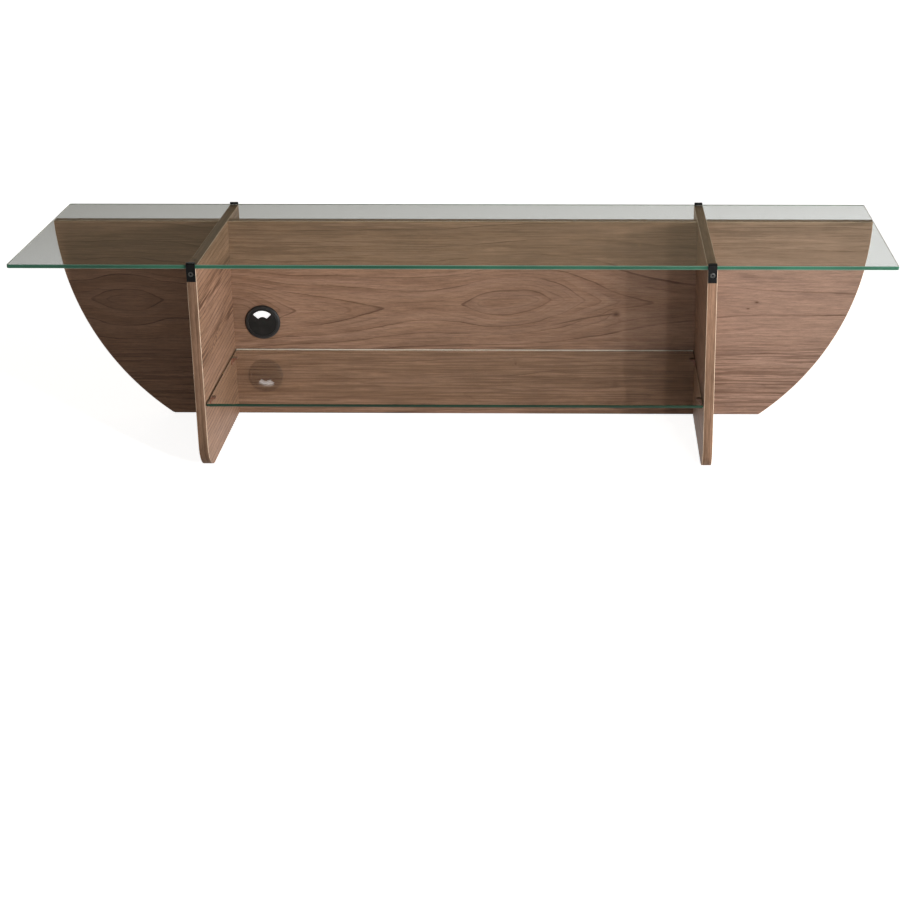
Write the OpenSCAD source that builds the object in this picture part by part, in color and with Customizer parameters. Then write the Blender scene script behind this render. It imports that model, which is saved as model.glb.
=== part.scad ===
// Low console with a glass top: one long back panel and two deep uprights slot into each
// other, four clips hold the top glass and a smaller glass shelf sits between the uprights.
// Millimetres. +Z is up, +X runs along the length and the front faces -Y.
// The origin is on the floor, under the middle of the top glass.

/* [Top glass] */
// Length of the top glass; the back panel is as long
top_len = 1800; // [1650:10:2000]
// Height of the top glass's upper face above the floor
top_h = 455; // [430:5:480]
// Thickness of the top glass
top_t = 8; // [6:1:12]
// Radius of the top glass's corners
top_corner_r = 5; // [2:1:20]

/* [Uprights] */
// Depth of an upright from front to back
upright_depth = 500; // [440:10:560]
// Thickness of an upright
upright_t = 20; // [18:1:28]
// How far the top glass reaches past an upright's outer face
wing_len = 364; // [320:2:440]
// Radius of an upright's two bottom corners
foot_r = 62; // [20:2:80]

/* [Back panel] */
// Distance of the panel's front face behind the middle of the console
panel_y = 108; // [60:2:115]
// Thickness of the panel
panel_t = 22; // [16:1:25]
// Radius of the panel's curved ends
end_r = 575; // [560:5:620]
// Height of the centre of those curves above the boards' top edges
end_rise = 19; // [5:1:30]

/* [Board joints and edging] */
// Height of the halving joints above the boards' lower edges
lap_h = 222; // [160:2:300]
// Clearance on each side of a board in its slot
lap_gap = 0.1; // [0.05:0.05:0.3]
// Thickness of the edging glued round the boards
edge_t = 1; // [0.4:0.1:2]
// Thickness of the floor strips under the boards
strip_t = 3; // [2:0.5:6]
// Width of the floor strips
strip_w = 12; // [8:1:16]
// Gap between an upright's floor strips and the back panel
strip_gap = 2; // [1:0.5:5]

/* [Glass clips] */
// Width of a clip
clip_w = 18; // [14:1:18]
// Thickness of a clip's plate
clip_t = 4; // [3.5:0.5:6]
// Thickness of the lip that holds the glass down
lip_t = 3; // [2:0.5:5]
// How far the lip reaches over the glass from the upright's end
lip_reach = 8; // [6:0.5:14]
// Radius of the lip's two free corners
lip_corner_r = 4; // [1:0.5:6]
// Radius of the clip's outer bend
bend_r = 2.5; // [1:0.5:3]
// How far the clip reaches below the glass's upper face
clip_drop = 34.5; // [30:0.5:45]
// Depth of the screw's centre below the glass's upper face
screw_drop = 18.5; // [16:0.5:22]
// Thickness of the liner between a clip and the glass
liner_t = 1; // [0.5:0.5:2]
// How much narrower the liner is than its clip
liner_margin = 1; // [0.5:0.5:4]

/* [Clip screws] */
// Radius of the screw's thread
screw_r = 3; // [2:0.5:3]
// Length of the screw under its head
screw_len = 20; // [16:1:28]
// Radius of the screw's head
head_r = 5; // [4.5:0.5:6]
// Height of the screw's head
head_h = 2.4; // [2:0.2:3]
// Width across the flats of the hexagon socket
socket_w = 4; // [3:0.5:4]
// Depth of the hexagon socket
socket_depth = 1.8; // [1:0.2:2]
// Radius of the threaded insert in the upright
insert_r = 4.5; // [4:0.5:6]
// Length of the threaded insert
insert_len = 13; // [8:1:15]
// Running room round a screw in its insert, and round an insert in its hole
screw_gap = 0.05; // [0.02:0.01:0.1]
// Room round a screw and its head in the clip
clip_hole_gap = 0.3; // [0.2:0.05:0.5]

/* [Glass pads] */
// Radius of the clear pads between the boards and the top glass
pad_r = 5; // [3:0.5:7]
// Thickness of those pads
pad_t = 1; // [0.5:0.5:2]
// Distance of an upright's pads from its ends
upright_pad_inset = 50; // [30:5:90]
// Distance of the panel's outer pads from its ends
panel_pad_inset = 60; // [30:5:150]
// Distance of the panel's inner pads from the middle
panel_pad_x = 200; // [50:10:350]

/* [Lower glass shelf] */
// Height of the shelf's upper face above the floor
shelf_h = 156; // [100:2:170]
// Thickness of the shelf
shelf_t = 6; // [5:1:8]
// Distance of the shelf's front edge behind the uprights' front edges
shelf_setback = 1; // [1:1:60]
// Gap between the shelf and each upright
shelf_side_gap = 1.5; // [0.5:0.5:3]
// Gap between the shelf and the back panel
shelf_back_gap = 1; // [0.5:0.5:3]
// Radius of the shelf's corners
shelf_corner_r = 3; // [1:1:10]

/* [Shelf supports] */
// Distance of a support's middle from the shelf's front or rear edge
support_inset = 52; // [20:1:100]
// Width of a support along the upright
support_w = 14; // [10:1:24]
// How far a support stands out from the upright
support_out = 13; // [10:1:25]
// Thickness of the support's seat and of its back
support_t = 3; // [2:0.5:4]
// Height of the support's back
support_back_h = 16; // [12:1:24]
// Thickness of the rib under the seat
rib_t = 3; // [2:0.5:5]
// Radius of the peg that goes into the upright
peg_r = 2.5; // [2:0.5:4]
// Length of the peg
peg_len = 10; // [6:1:12]
// Height of the peg's middle above the foot of the support
peg_rise = 6; // [5:0.5:8]
// Room round the peg in its hole
peg_gap = 0.05; // [0.02:0.01:0.1]
// Radius of the clear pad on the support
support_pad_r = 4.5; // [3:0.5:5]
// Thickness of that pad
support_pad_t = 1; // [0.5:0.5:2]

/* [Cable grommet] */
// Distance of the grommet's middle from the left upright's inner face
grommet_in = 65; // [50:1:400]
// Height of the grommet's middle above the floor
grommet_h = 219; // [219:1:330]
// Radius of the hole through the panel
grommet_hole_r = 32; // [26:1:32]
// Thickness of the liner's wall
grommet_wall = 1.5; // [1.2:0.1:2]
// Width of the liner's collar outside the hole
collar_w = 7.5; // [4:0.5:8]
// Height of the collar in front of the panel
collar_h = 4; // [3.5:0.5:5]
// Thickness of the ledge inside the collar, under the cap
ledge_t = 1; // [0.6:0.1:1.4]
// How far the liner stops short of the panel's rear face
grommet_short = 1; // [0:0.5:4]
// Room round the liner in the hole
grommet_fit = 0.05; // [0.02:0.01:0.1]
// Thickness of the turning cap's disc
cap_t = 2.5; // [1.5:0.5:3]
// Gap between the cap's disc and the liner
cap_gap = 0.3; // [0.3:0.1:0.5]
// Room between the cap's skirt and the liner's bore
skirt_fit = 0.08; // [0.05:0.01:0.1]
// Thickness of the cap's skirt
skirt_t = 1.5; // [1:0.1:2]
// Length of the cap's skirt
skirt_len = 7; // [6:0.5:12]
// Height of the snap bead on the skirt above the skirt's face
bead_h = 0.35; // [0.2:0.05:0.4]
// Width of the snap bead along the skirt
bead_w = 1.2; // [0.8:0.1:2]
// Inner radius of the cable slot in the cap
slot_in_r = 12.5; // [8:0.5:18]
// Width of the wall left between the cable slot and the skirt
slot_wall = 1.8; // [0.2:0.1:3]
// Angle that the cable slot spans
slot_span = 96; // [40:2:150]
// Angle of the slot's middle, seen from the front, up from the right
slot_middle = 91; // [0:1:180]

/* [Hidden] */
$fn = 96;
CUT = 1; // how far a cutting shape runs past the face that it opens
GLASS = [0.62, 0.75, 0.71, 0.45];
WALNUT = [0.50, 0.38, 0.30];
EDGING = [0.57, 0.46, 0.37];
BLACK = [0.10, 0.10, 0.10];

glass_under = top_h - top_t;
board_top = glass_under - pad_t;
glass_depth = upright_depth - 2 * liner_t;
lap_z = strip_t + lap_h;

// ends of the back panel
end_cx = top_len / 2 - end_r;
end_cz = board_top + end_rise;
foot_x = end_cx + sqrt(pow(end_r, 2) - pow(end_cz - strip_t, 2));

// uprights
upright_x = top_len / 2 - wing_len - upright_t / 2;
inner_x = upright_x - upright_t / 2;
foot_y = upright_depth / 2 - foot_r;

// clips
lip_top = top_h + liner_t + lip_t;
clip_bottom = top_h - clip_drop;
screw_z = top_h - screw_drop;

// shelf and its supports
shelf_front = -upright_depth / 2 + shelf_setback;
shelf_rear = panel_y - shelf_back_gap;
shelf_half = inner_x - shelf_side_gap;
seat_top = shelf_h - shelf_t - support_pad_t;
support_front_y = shelf_front + support_inset;
support_rear_y = shelf_rear - support_inset;

// grommet
grommet_x = -inner_x + grommet_in;
tube_r = grommet_hole_r - grommet_fit;
bore_r = tube_r - grommet_wall;
cap_r = tube_r - cap_gap;
skirt_r = bore_r - skirt_fit;
slot_out_r = skirt_r - skirt_t - slot_wall;
cap_z = ledge_t + cap_gap;
skirt_end = cap_z - skirt_len;

// ---- helpers ----

// rectangle with round corners, centred in x, from y0 to y1
module rounded_sheet(half, y0, y1, r) {
    translate([-half + r, y0])
        square([2 * (half - r), y1 - y0]);
    translate([-half, y0 + r])
        square([2 * half, y1 - y0 - 2 * r]);
    for (x = [-half + r, half - r], y = [y0 + r, y1 - r])
        translate([x, y])
            circle(r);
}

// a shape drawn in X and Z, pushed back from y by depth
module wall_xz(y, depth)
    translate([0, y + depth, 0])
        rotate([90, 0, 0])
            linear_extrude(depth)
                children();

// a shape drawn in Y and Z, centred on x with that width
module wall_yz(x, width)
    translate([x - width / 2, 0, 0])
        rotate([90, 0, 90])
            linear_extrude(width)
                children();

// a corner of the console: side -1 left or 1 right, end -1 front or 1 rear;
// there -Y points out of the upright's end face
module corner(side, end)
    rotate([0, 0, end > 0 ? 180 : 0])
        translate([-end * side * upright_x, -upright_depth / 2, 0])
            children();

module each_corner()
    for (side = [-1, 1], end = [-1, 1])
        corner(side, end)
            children();

// a cylinder that comes forward along -Y, from y = from to y = -to
module forward_cylinder(r, from, to)
    rotate([90, 0, 0])
        translate([0, 0, -from])
            cylinder(r = r, h = from + to);

// ---- glass ----

module top_glass()
    color(GLASS)
        translate([0, 0, glass_under])
            linear_extrude(top_t)
                rounded_sheet(top_len / 2, -glass_depth / 2, glass_depth / 2, top_corner_r);

module lower_shelf()
    color(GLASS)
        translate([0, 0, shelf_h - shelf_t])
            linear_extrude(shelf_t)
                rounded_sheet(shelf_half, shelf_front, shelf_rear, shelf_corner_r);

// ---- back panel ----

// the panel's face between its foot and top, its curved ends drawn in by inset
module panel_face(inset, top)
    intersection() {
        union() {
            for (s = [-1, 1])
                translate([s * end_cx, end_cz])
                    circle(end_r - inset, $fn = 360);
            translate([-end_cx, strip_t])
                square([2 * end_cx, top - strip_t]);
        }
        translate([-top_len / 2, strip_t])
            square([top_len, top - strip_t]);
    }

// the slots that take the uprights, from the joint's height up
module panel_slots()
    for (s = [-1, 1])
        translate([s * upright_x - upright_t / 2 - lap_gap, lap_z])
            square([upright_t + 2 * lap_gap, board_top - lap_z + CUT]);

module back_panel()
    color(WALNUT)
        difference() {
            wall_xz(panel_y, panel_t)
                difference() {
                    panel_face(edge_t, board_top - edge_t);
                    panel_slots();
                }
            translate([grommet_x, panel_y + panel_t + CUT, grommet_h])
                rotate([90, 0, 0])
                    cylinder(r = grommet_hole_r, h = panel_t + 2 * CUT);
        }

module panel_end_edging(side)
    color(EDGING)
        wall_xz(panel_y, panel_t)
            intersection() {
                difference() {
                    panel_face(0, board_top);
                    panel_face(edge_t, board_top);
                }
                translate([side > 0 ? end_cx : -top_len / 2, strip_t])
                    square([top_len / 2 - end_cx, board_top - strip_t]);
            }

// one stretch of the panel's top edging, from x0 to x1
module panel_top_edging(x0, x1)
    color(EDGING)
        wall_xz(panel_y, panel_t)
            intersection() {
                panel_face(edge_t, board_top);
                translate([x0, board_top - edge_t])
                    square([x1 - x0, edge_t]);
            }

// ---- uprights ----

// an upright's side: round bottom corners, drawn in by inset but not at its foot
module upright_side(inset, top) {
    half = upright_depth / 2 - inset;
    translate([-half, strip_t + foot_r])
        square([2 * half, top - strip_t - foot_r]);
    translate([-foot_y, strip_t])
        square([2 * foot_y, foot_r]);
    for (s = [-1, 1])
        translate([s * foot_y, strip_t + foot_r])
            circle(foot_r - inset);
}

// the slot that takes the back panel, from the foot up to the joint's height
module upright_slot()
    translate([panel_y - lap_gap, strip_t - CUT])
        square([panel_t + 2 * lap_gap, lap_z - strip_t + CUT]);

module insert_hole(r, depth)
    translate([0, 0, screw_z])
        forward_cylinder(r, depth, CUT);

module upright(side)
    color(WALNUT)
        difference() {
            wall_yz(side * upright_x, upright_t)
                difference() {
                    upright_side(edge_t, board_top - edge_t);
                    upright_slot();
                }
            for (end = [-1, 1])
                corner(side, end) {
                    insert_hole(insert_r + screw_gap, insert_len);
                    insert_hole(screw_r + clip_hole_gap, screw_len);
                }
            for (y = [support_front_y, support_rear_y])
                support_place(side, y)
                    support_peg(peg_r + peg_gap, peg_len + peg_gap);
        }

// the edging of an upright's front or rear edge, round its bottom corner too
module upright_end_edging(side, end)
    color(EDGING)
        difference() {
            wall_yz(side * upright_x, upright_t)
                mirror([end > 0 ? 1 : 0, 0])
                    difference() {
                        intersection() {
                            upright_side(0, board_top);
                            translate([-upright_depth / 2, strip_t])
                                square([foot_r, board_top - strip_t]);
                        }
                        upright_side(edge_t, board_top);
                    }
            corner(side, end)
                insert_hole(insert_r + screw_gap, edge_t + CUT);
        }

module upright_top_edging(side)
    color(EDGING)
        translate([side * upright_x - upright_t / 2, -upright_depth / 2 + edge_t, board_top - edge_t])
            cube([upright_t, upright_depth - 2 * edge_t, edge_t]);

// ---- floor strips ----

module panel_floor_strip()
    color("#2a211b")
        wall_xz(panel_y + (panel_t - strip_w) / 2, strip_w)
            polygon([
                [-foot_x, strip_t], [foot_x, strip_t],
                [foot_x - strip_t, 0], [-foot_x + strip_t, 0]
            ]);

module upright_floor_strips(side)
    color("#2a211b")
        wall_yz(side * upright_x, strip_w) {
            polygon([
                [-foot_y, strip_t], [panel_y - strip_gap, strip_t],
                [panel_y - strip_gap, 0], [-foot_y + strip_t, 0]
            ]);
            polygon([
                [foot_y, strip_t], [panel_y + panel_t + strip_gap, strip_t],
                [panel_y + panel_t + strip_gap, 0], [foot_y - strip_t, 0]
            ]);
        }

// ---- glass clips: drawn at a corner, with the upright's end face at y = 0 ----

// side view of a clip: plate and lip, with the outer bend rounded
module clip_side()
    difference() {
        translate([-clip_t, clip_bottom]) {
            square([clip_t, lip_top - clip_bottom]);
            translate([0, lip_top - lip_t - clip_bottom])
                square([clip_t + lip_reach, lip_t]);
        }
        translate([-clip_t, lip_top - bend_r])
            difference() {
                translate([-CUT, 0])
                    square([bend_r + CUT, bend_r + CUT]);
                translate([bend_r, 0])
                    circle(bend_r);
            }
    }

// plan of a clip, with the lip's free corners rounded
module clip_plan()
    rounded_sheet(clip_w / 2, -clip_t - lip_corner_r, lip_reach, lip_corner_r);

module clip()
    color(BLACK)
        difference() {
            intersection() {
                wall_yz(0, clip_w)
                    clip_side();
                translate([0, 0, clip_bottom])
                    linear_extrude(lip_top - clip_bottom)
                        clip_plan();
            }
            translate([0, 0, screw_z]) {
                forward_cylinder(screw_r + clip_hole_gap, CUT, clip_t + CUT);
                translate([0, -clip_t + head_h, 0])
                    forward_cylinder(head_r + clip_hole_gap, 0, head_h + CUT);
            }
        }

// the liner behind the plate and under the lip
module clip_liner()
    color("#2e2e2c")
        wall_yz(0, clip_w - liner_margin) {
            translate([0, glass_under])
                square([liner_t, top_t + liner_t]);
            translate([0, top_h])
                square([lip_reach - liner_margin, liner_t]);
        }

module clip_screw()
    color("#8a8a86")
        translate([0, 0, screw_z])
            difference() {
                union() {
                    forward_cylinder(screw_r, screw_len + head_h - clip_t, clip_t - head_h);
                    translate([0, -clip_t + head_h, 0])
                        forward_cylinder(head_r, 0, head_h);
                }
                translate([0, -clip_t + socket_depth, 0])
                    rotate([90, 0, 0])
                        cylinder(d = socket_w / cos(30), h = socket_depth + CUT, $fn = 6);
            }

module clip_insert()
    color("#b08d4c")
        translate([0, 0, screw_z])
            difference() {
                forward_cylinder(insert_r, insert_len, 0);
                forward_cylinder(screw_r + screw_gap, insert_len + CUT, CUT);
            }

module clip_liners() each_corner() clip_liner();
module clip_screws() each_corner() clip_screw();
module clip_inserts() each_corner() clip_insert();

// ---- pads under the top glass ----

module glass_pad(x, y)
    color([0.85, 0.88, 0.88, 0.6])
        translate([x, y, board_top])
            cylinder(r = pad_r, h = pad_t);

module upright_glass_pads()
    for (side = [-1, 1], end = [-1, 1])
        glass_pad(side * upright_x, end * (upright_depth / 2 - upright_pad_inset));

module panel_glass_pads()
    for (side = [-1, 1], x = [panel_pad_x, top_len / 2 - panel_pad_inset])
        glass_pad(side * x, panel_y + panel_t / 2);

// ---- shelf supports: drawn against a face at x = 0 that looks along +X ----

module support_place(side, y)
    translate([side * inner_x, y, seat_top])
        rotate([0, 0, side > 0 ? 180 : 0])
            children();

module support_peg(r, length)
    translate([0, 0, peg_rise - support_back_h])
        rotate([0, -90, 0])
            cylinder(r = r, h = length);

module shelf_support()
    color("#6d4030") {
        translate([0, -support_w / 2, -support_t])
            cube([support_out, support_w, support_t]);
        translate([0, -support_w / 2, -support_back_h])
            cube([support_t, support_w, support_back_h]);
        translate([0, rib_t / 2, 0])
            rotate([90, 0, 0])
                linear_extrude(rib_t)
                    polygon([
                        [support_t, -support_t], [support_out - support_t, -support_t],
                        [support_t, -support_back_h + support_t]
                    ]);
        support_peg(peg_r, peg_len);
    }

module shelf_support_pads()
    color([0.85, 0.88, 0.88, 0.6])
        for (side = [-1, 1], y = [support_front_y, support_rear_y])
            support_place(side, y)
                translate([(support_t + support_out) / 2, 0, 0])
                    cylinder(r = support_pad_r, h = support_pad_t);

// ---- cable grommet: turned round its own axis, z = 0 on the panel's front face ----

module grommet_place()
    translate([grommet_x, panel_y, grommet_h])
        rotate([90, 0, 0])
            children();

// half section of the collar: a flat ledge inside and a domed ring outside it
module collar_section() {
    dome_w = collar_w - collar_h;
    translate([bore_r, 0])
        square([grommet_wall + collar_w, ledge_t]);
    translate([tube_r, 0])
        intersection() {
            square([collar_w, collar_h]);
            union() {
                square([dome_w, collar_h]);
                translate([dome_w, 0])
                    circle(collar_h);
            }
        }
}

module grommet_liner()
    color(BLACK)
        grommet_place()
            rotate_extrude()
                difference() {
                    union() {
                        translate([bore_r, grommet_short - panel_t])
                            square([grommet_wall, panel_t - grommet_short]);
                        collar_section();
                    }
                    translate([bore_r - CUT, skirt_end - cap_gap])
                        square([CUT + bead_h + cap_gap - skirt_fit, bead_w + 2 * cap_gap]);
                }

// the cable slot: a part of a ring, from the inner to the outer radius
module cable_slot() {
    reach = 2 * slot_out_r;
    steps = [for (k = [0:4]) slot_middle + slot_span * (k / 4 - 0.5)];
    intersection() {
        difference() {
            circle(slot_out_r);
            circle(slot_in_r);
        }
        polygon(concat([[0, 0]], [for (a = steps) reach * [cos(a), sin(a)]]));
    }
}

module grommet_cap()
    color(BLACK)
        grommet_place() {
            translate([0, 0, cap_z])
                linear_extrude(cap_t)
                    difference() {
                        circle(cap_r);
                        cable_slot();
                    }
            rotate_extrude()
                translate([skirt_r - skirt_t, skirt_end]) {
                    square([skirt_t, skirt_len]);
                    square([skirt_t + bead_h, bead_w]);
                }
        }

// ---- the pieces ----

top_glass();
lower_shelf();
back_panel();
upright(-1);  // left_upright
upright(1);  // right_upright
panel_end_edging(-1);  // panel_left_end_edging
panel_end_edging(1);  // panel_right_end_edging
panel_top_edging(-top_len / 2, -upright_x - upright_t / 2 - lap_gap);  // panel_left_top_edging
panel_top_edging(-inner_x + lap_gap, inner_x - lap_gap);  // panel_middle_top_edging
panel_top_edging(upright_x + upright_t / 2 + lap_gap, top_len / 2);  // panel_right_top_edging
upright_end_edging(-1, -1);  // left_upright_front_edging
upright_end_edging(-1, 1);  // left_upright_rear_edging
upright_top_edging(-1);  // left_upright_top_edging
upright_end_edging(1, -1);  // right_upright_front_edging
upright_end_edging(1, 1);  // right_upright_rear_edging
upright_top_edging(1);  // right_upright_top_edging
panel_floor_strip();
upright_floor_strips(-1);  // left_upright_floor_strips
upright_floor_strips(1);  // right_upright_floor_strips
corner(-1, -1) clip();  // front_left_clip
corner(1, -1) clip();  // front_right_clip
corner(-1, 1) clip();  // rear_left_clip
corner(1, 1) clip();  // rear_right_clip
clip_liners();
clip_screws();
clip_inserts();
upright_glass_pads();
panel_glass_pads();
support_place(-1, support_front_y) shelf_support();  // front_left_shelf_support
support_place(1, support_front_y) shelf_support();  // front_right_shelf_support
support_place(-1, support_rear_y) shelf_support();  // rear_left_shelf_support
support_place(1, support_rear_y) shelf_support();  // rear_right_shelf_support
shelf_support_pads();
grommet_liner();
grommet_cap();
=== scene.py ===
"""Glass-topped console: its pieces and finishes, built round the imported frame."""

from math import asin, atan2, cos, hypot, pi, radians, sin, tan

import bmesh
import bpy
from bpy.props import FloatProperty, FloatVectorProperty, PointerProperty
from mathutils import Matrix, Vector
from mathutils.geometry import tessellate_polygon


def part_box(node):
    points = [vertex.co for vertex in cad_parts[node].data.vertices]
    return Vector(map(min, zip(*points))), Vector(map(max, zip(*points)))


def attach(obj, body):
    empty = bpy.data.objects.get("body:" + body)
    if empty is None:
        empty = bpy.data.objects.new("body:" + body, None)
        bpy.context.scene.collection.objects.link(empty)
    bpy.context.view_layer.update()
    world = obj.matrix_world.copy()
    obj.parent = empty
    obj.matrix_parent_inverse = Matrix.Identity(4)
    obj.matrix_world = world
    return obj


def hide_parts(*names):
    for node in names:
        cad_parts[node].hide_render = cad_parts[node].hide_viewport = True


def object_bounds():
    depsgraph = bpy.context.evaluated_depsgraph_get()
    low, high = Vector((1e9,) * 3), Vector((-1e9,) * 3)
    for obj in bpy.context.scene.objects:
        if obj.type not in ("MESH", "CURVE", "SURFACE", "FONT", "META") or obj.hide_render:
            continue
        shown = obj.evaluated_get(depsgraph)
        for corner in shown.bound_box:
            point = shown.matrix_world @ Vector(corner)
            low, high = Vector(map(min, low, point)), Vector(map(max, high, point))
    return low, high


bl_info = {
    "name": "Glass-Topped Console",
    "version": (1, 0, 0),
    "blender": (4, 5, 0),
    "location": "3D View > Sidebar > Console",
    "description": "Builds a walnut console with a glass top, piece by piece, and its studio",
    "category": "Add Mesh",
}

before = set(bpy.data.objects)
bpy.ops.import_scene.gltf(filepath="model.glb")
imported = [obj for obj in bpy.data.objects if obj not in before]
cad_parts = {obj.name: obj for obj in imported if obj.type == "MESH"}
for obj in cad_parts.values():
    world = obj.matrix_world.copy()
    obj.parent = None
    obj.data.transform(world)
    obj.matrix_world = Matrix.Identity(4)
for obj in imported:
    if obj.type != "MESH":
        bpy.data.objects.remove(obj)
FRAME_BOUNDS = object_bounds()
SIDES = {"left": -1, "right": 1}
ENDS = {"front": -1, "rear": 1}
CORNERS = [(side, end) for side in SIDES for end in ENDS]
MM = 0.001
TINY = 1e-6  # places this close count as one
FIT = 0.05 * MM  # clearance of a pressed-in piece in its hole
PLAY = 0.3 * MM  # clearance round a screw
EASE = 0.3 * MM  # how far the small turned edges are eased


# ---- what a user would change ----


def length(name, description, default, **limits):
    """A length property in metres."""
    limits.setdefault("min", 0.0)
    return FloatProperty(
        name=name, description=description, default=default, precision=5,
        unit="LENGTH", subtype="DISTANCE", **limits,
    )


def angle(name, description, default, **limits):
    """An angle property."""
    return FloatProperty(
        name=name, description=description, default=default, subtype="ANGLE", **limits,
    )


def power(name, description, default):
    """A lamp's power in watts."""
    return FloatProperty(name=name, description=description, default=default, min=0.0, unit="POWER")


def colour(name, description, default):
    """A linear colour property."""
    return FloatVectorProperty(
        name=name, description=description, default=default, size=3,
        min=0.0, max=1.0, subtype="COLOR",
    )


class ConsoleBoards(bpy.types.PropertyGroup):
    """Sizes of the boards, their joints and their edging."""

    end_radius: length("End radius", "Radius of the back panel's curved ends", 0.575)
    end_rise: length("End rise", "Height of those curves' centres above the boards", 0.019)
    foot_radius: length("Foot radius", "Radius of an upright's bottom corners", 0.062)
    lap_height: length("Lap height", "Height of the halving joints above the floor", 0.225)
    lap_gap: length("Lap gap", "Clearance on each side of a board in its slot", 0.0001)
    edging: length("Edging", "Thickness of the edging", 0.001)
    arris: length("Arris", "Radius of the edging's rounded arrises", 0.00095)
    strip_gap: length("Strip gap", "Gap between an upright's floor strips and the panel", 0.002)


class ConsoleGlass(bpy.types.PropertyGroup):
    """Sizes of the two glass plates."""

    top_corner: length("Top corner", "Radius of the top glass's corners", 0.005)
    shelf_corner: length("Shelf corner", "Radius of the lower glass's corners", 0.003)
    arris: length("Arris", "Width of the ground arris along every glass edge", 0.001)


class ConsoleFittings(bpy.types.PropertyGroup):
    """Sizes of the clips, screws, supports and the grommet."""

    plate: length("Plate", "Thickness of a clip's plate", 0.004)
    lip: length("Lip", "Thickness of a clip's lip", 0.003)
    lip_corner: length("Lip corner", "Radius of the lip's two free corners", 0.004)
    bend: length("Bend", "Radius of a clip's outer bend", 0.0025)
    screw_drop: length("Screw drop", "Depth of a screw under the clip's top", 0.0225)
    head_radius: length("Head radius", "Radius of a screw's head", 0.005)
    head_height: length("Head height", "Height of a screw's head", 0.0024)
    thread_radius: length("Thread radius", "Outer radius of a screw's thread", 0.003)
    thread_pitch: length("Thread pitch", "Pitch of that thread", 0.001)
    screw_length: length("Screw length", "Length of a screw under its head", 0.02)
    socket_width: length("Socket width", "Width across the flats of the hexagon socket", 0.004)
    socket_depth: length("Socket depth", "Depth of the hexagon socket", 0.0018)
    insert_radius: length("Insert radius", "Radius of the threaded insert", 0.0045)
    insert_length: length("Insert length", "Length of the threaded insert", 0.013)
    liner: length("Liner", "Thickness of the liner between a clip and the glass", 0.001)
    seat: length("Seat", "Thickness of a shelf support's seat and back", 0.003)
    peg_radius: length("Peg radius", "Radius of a shelf support's peg", 0.0025)
    peg_rise: length("Peg rise", "Height of the peg's middle above the support's foot", 0.006)
    grommet_wall: length("Grommet wall", "Thickness of the grommet liner's wall", 0.0015)
    collar_width: length("Collar width", "Width of the grommet's collar outside its hole", 0.0075)
    collar_ledge: length("Collar ledge", "Thickness of the ledge under the grommet's cap", 0.001)
    cap_thickness: length("Cap thickness", "Thickness of the grommet cap's disc", 0.0025)
    cap_skirt: length("Cap skirt", "Thickness of the grommet cap's skirt", 0.0015)
    slot_radius: length("Slot radius", "Inner radius of the cable slot", 0.0125)
    slot_span: angle(
        "Slot span", "Angle that the cable slot spans", radians(96), min=radians(20), max=radians(160),
    )
    slot_middle: angle("Slot middle", "Angle of the slot's middle, up from the right", radians(91))
    slot_rim: length("Slot rim", "Width of the cap between its slot and its skirt", 0.0018)
    cap_gap: length("Cap gap", "Clearance of the cap's skirt in the liner", 0.00008)
    bead: length("Bead", "How far the cap's snap bead stands out", 0.00035)
    groove_start: length("Groove start", "Depth of the liner's snap groove behind the panel's face", 0.0041)
    groove_end: length("Groove end", "Depth at which that groove ends", 0.006)
    groove_depth: length("Groove depth", "Depth of that groove in the liner's wall", 0.00057)
    pad_reach: length("Pad reach", "How far the panel's inner pads lie from its middle", 0.2)


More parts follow.
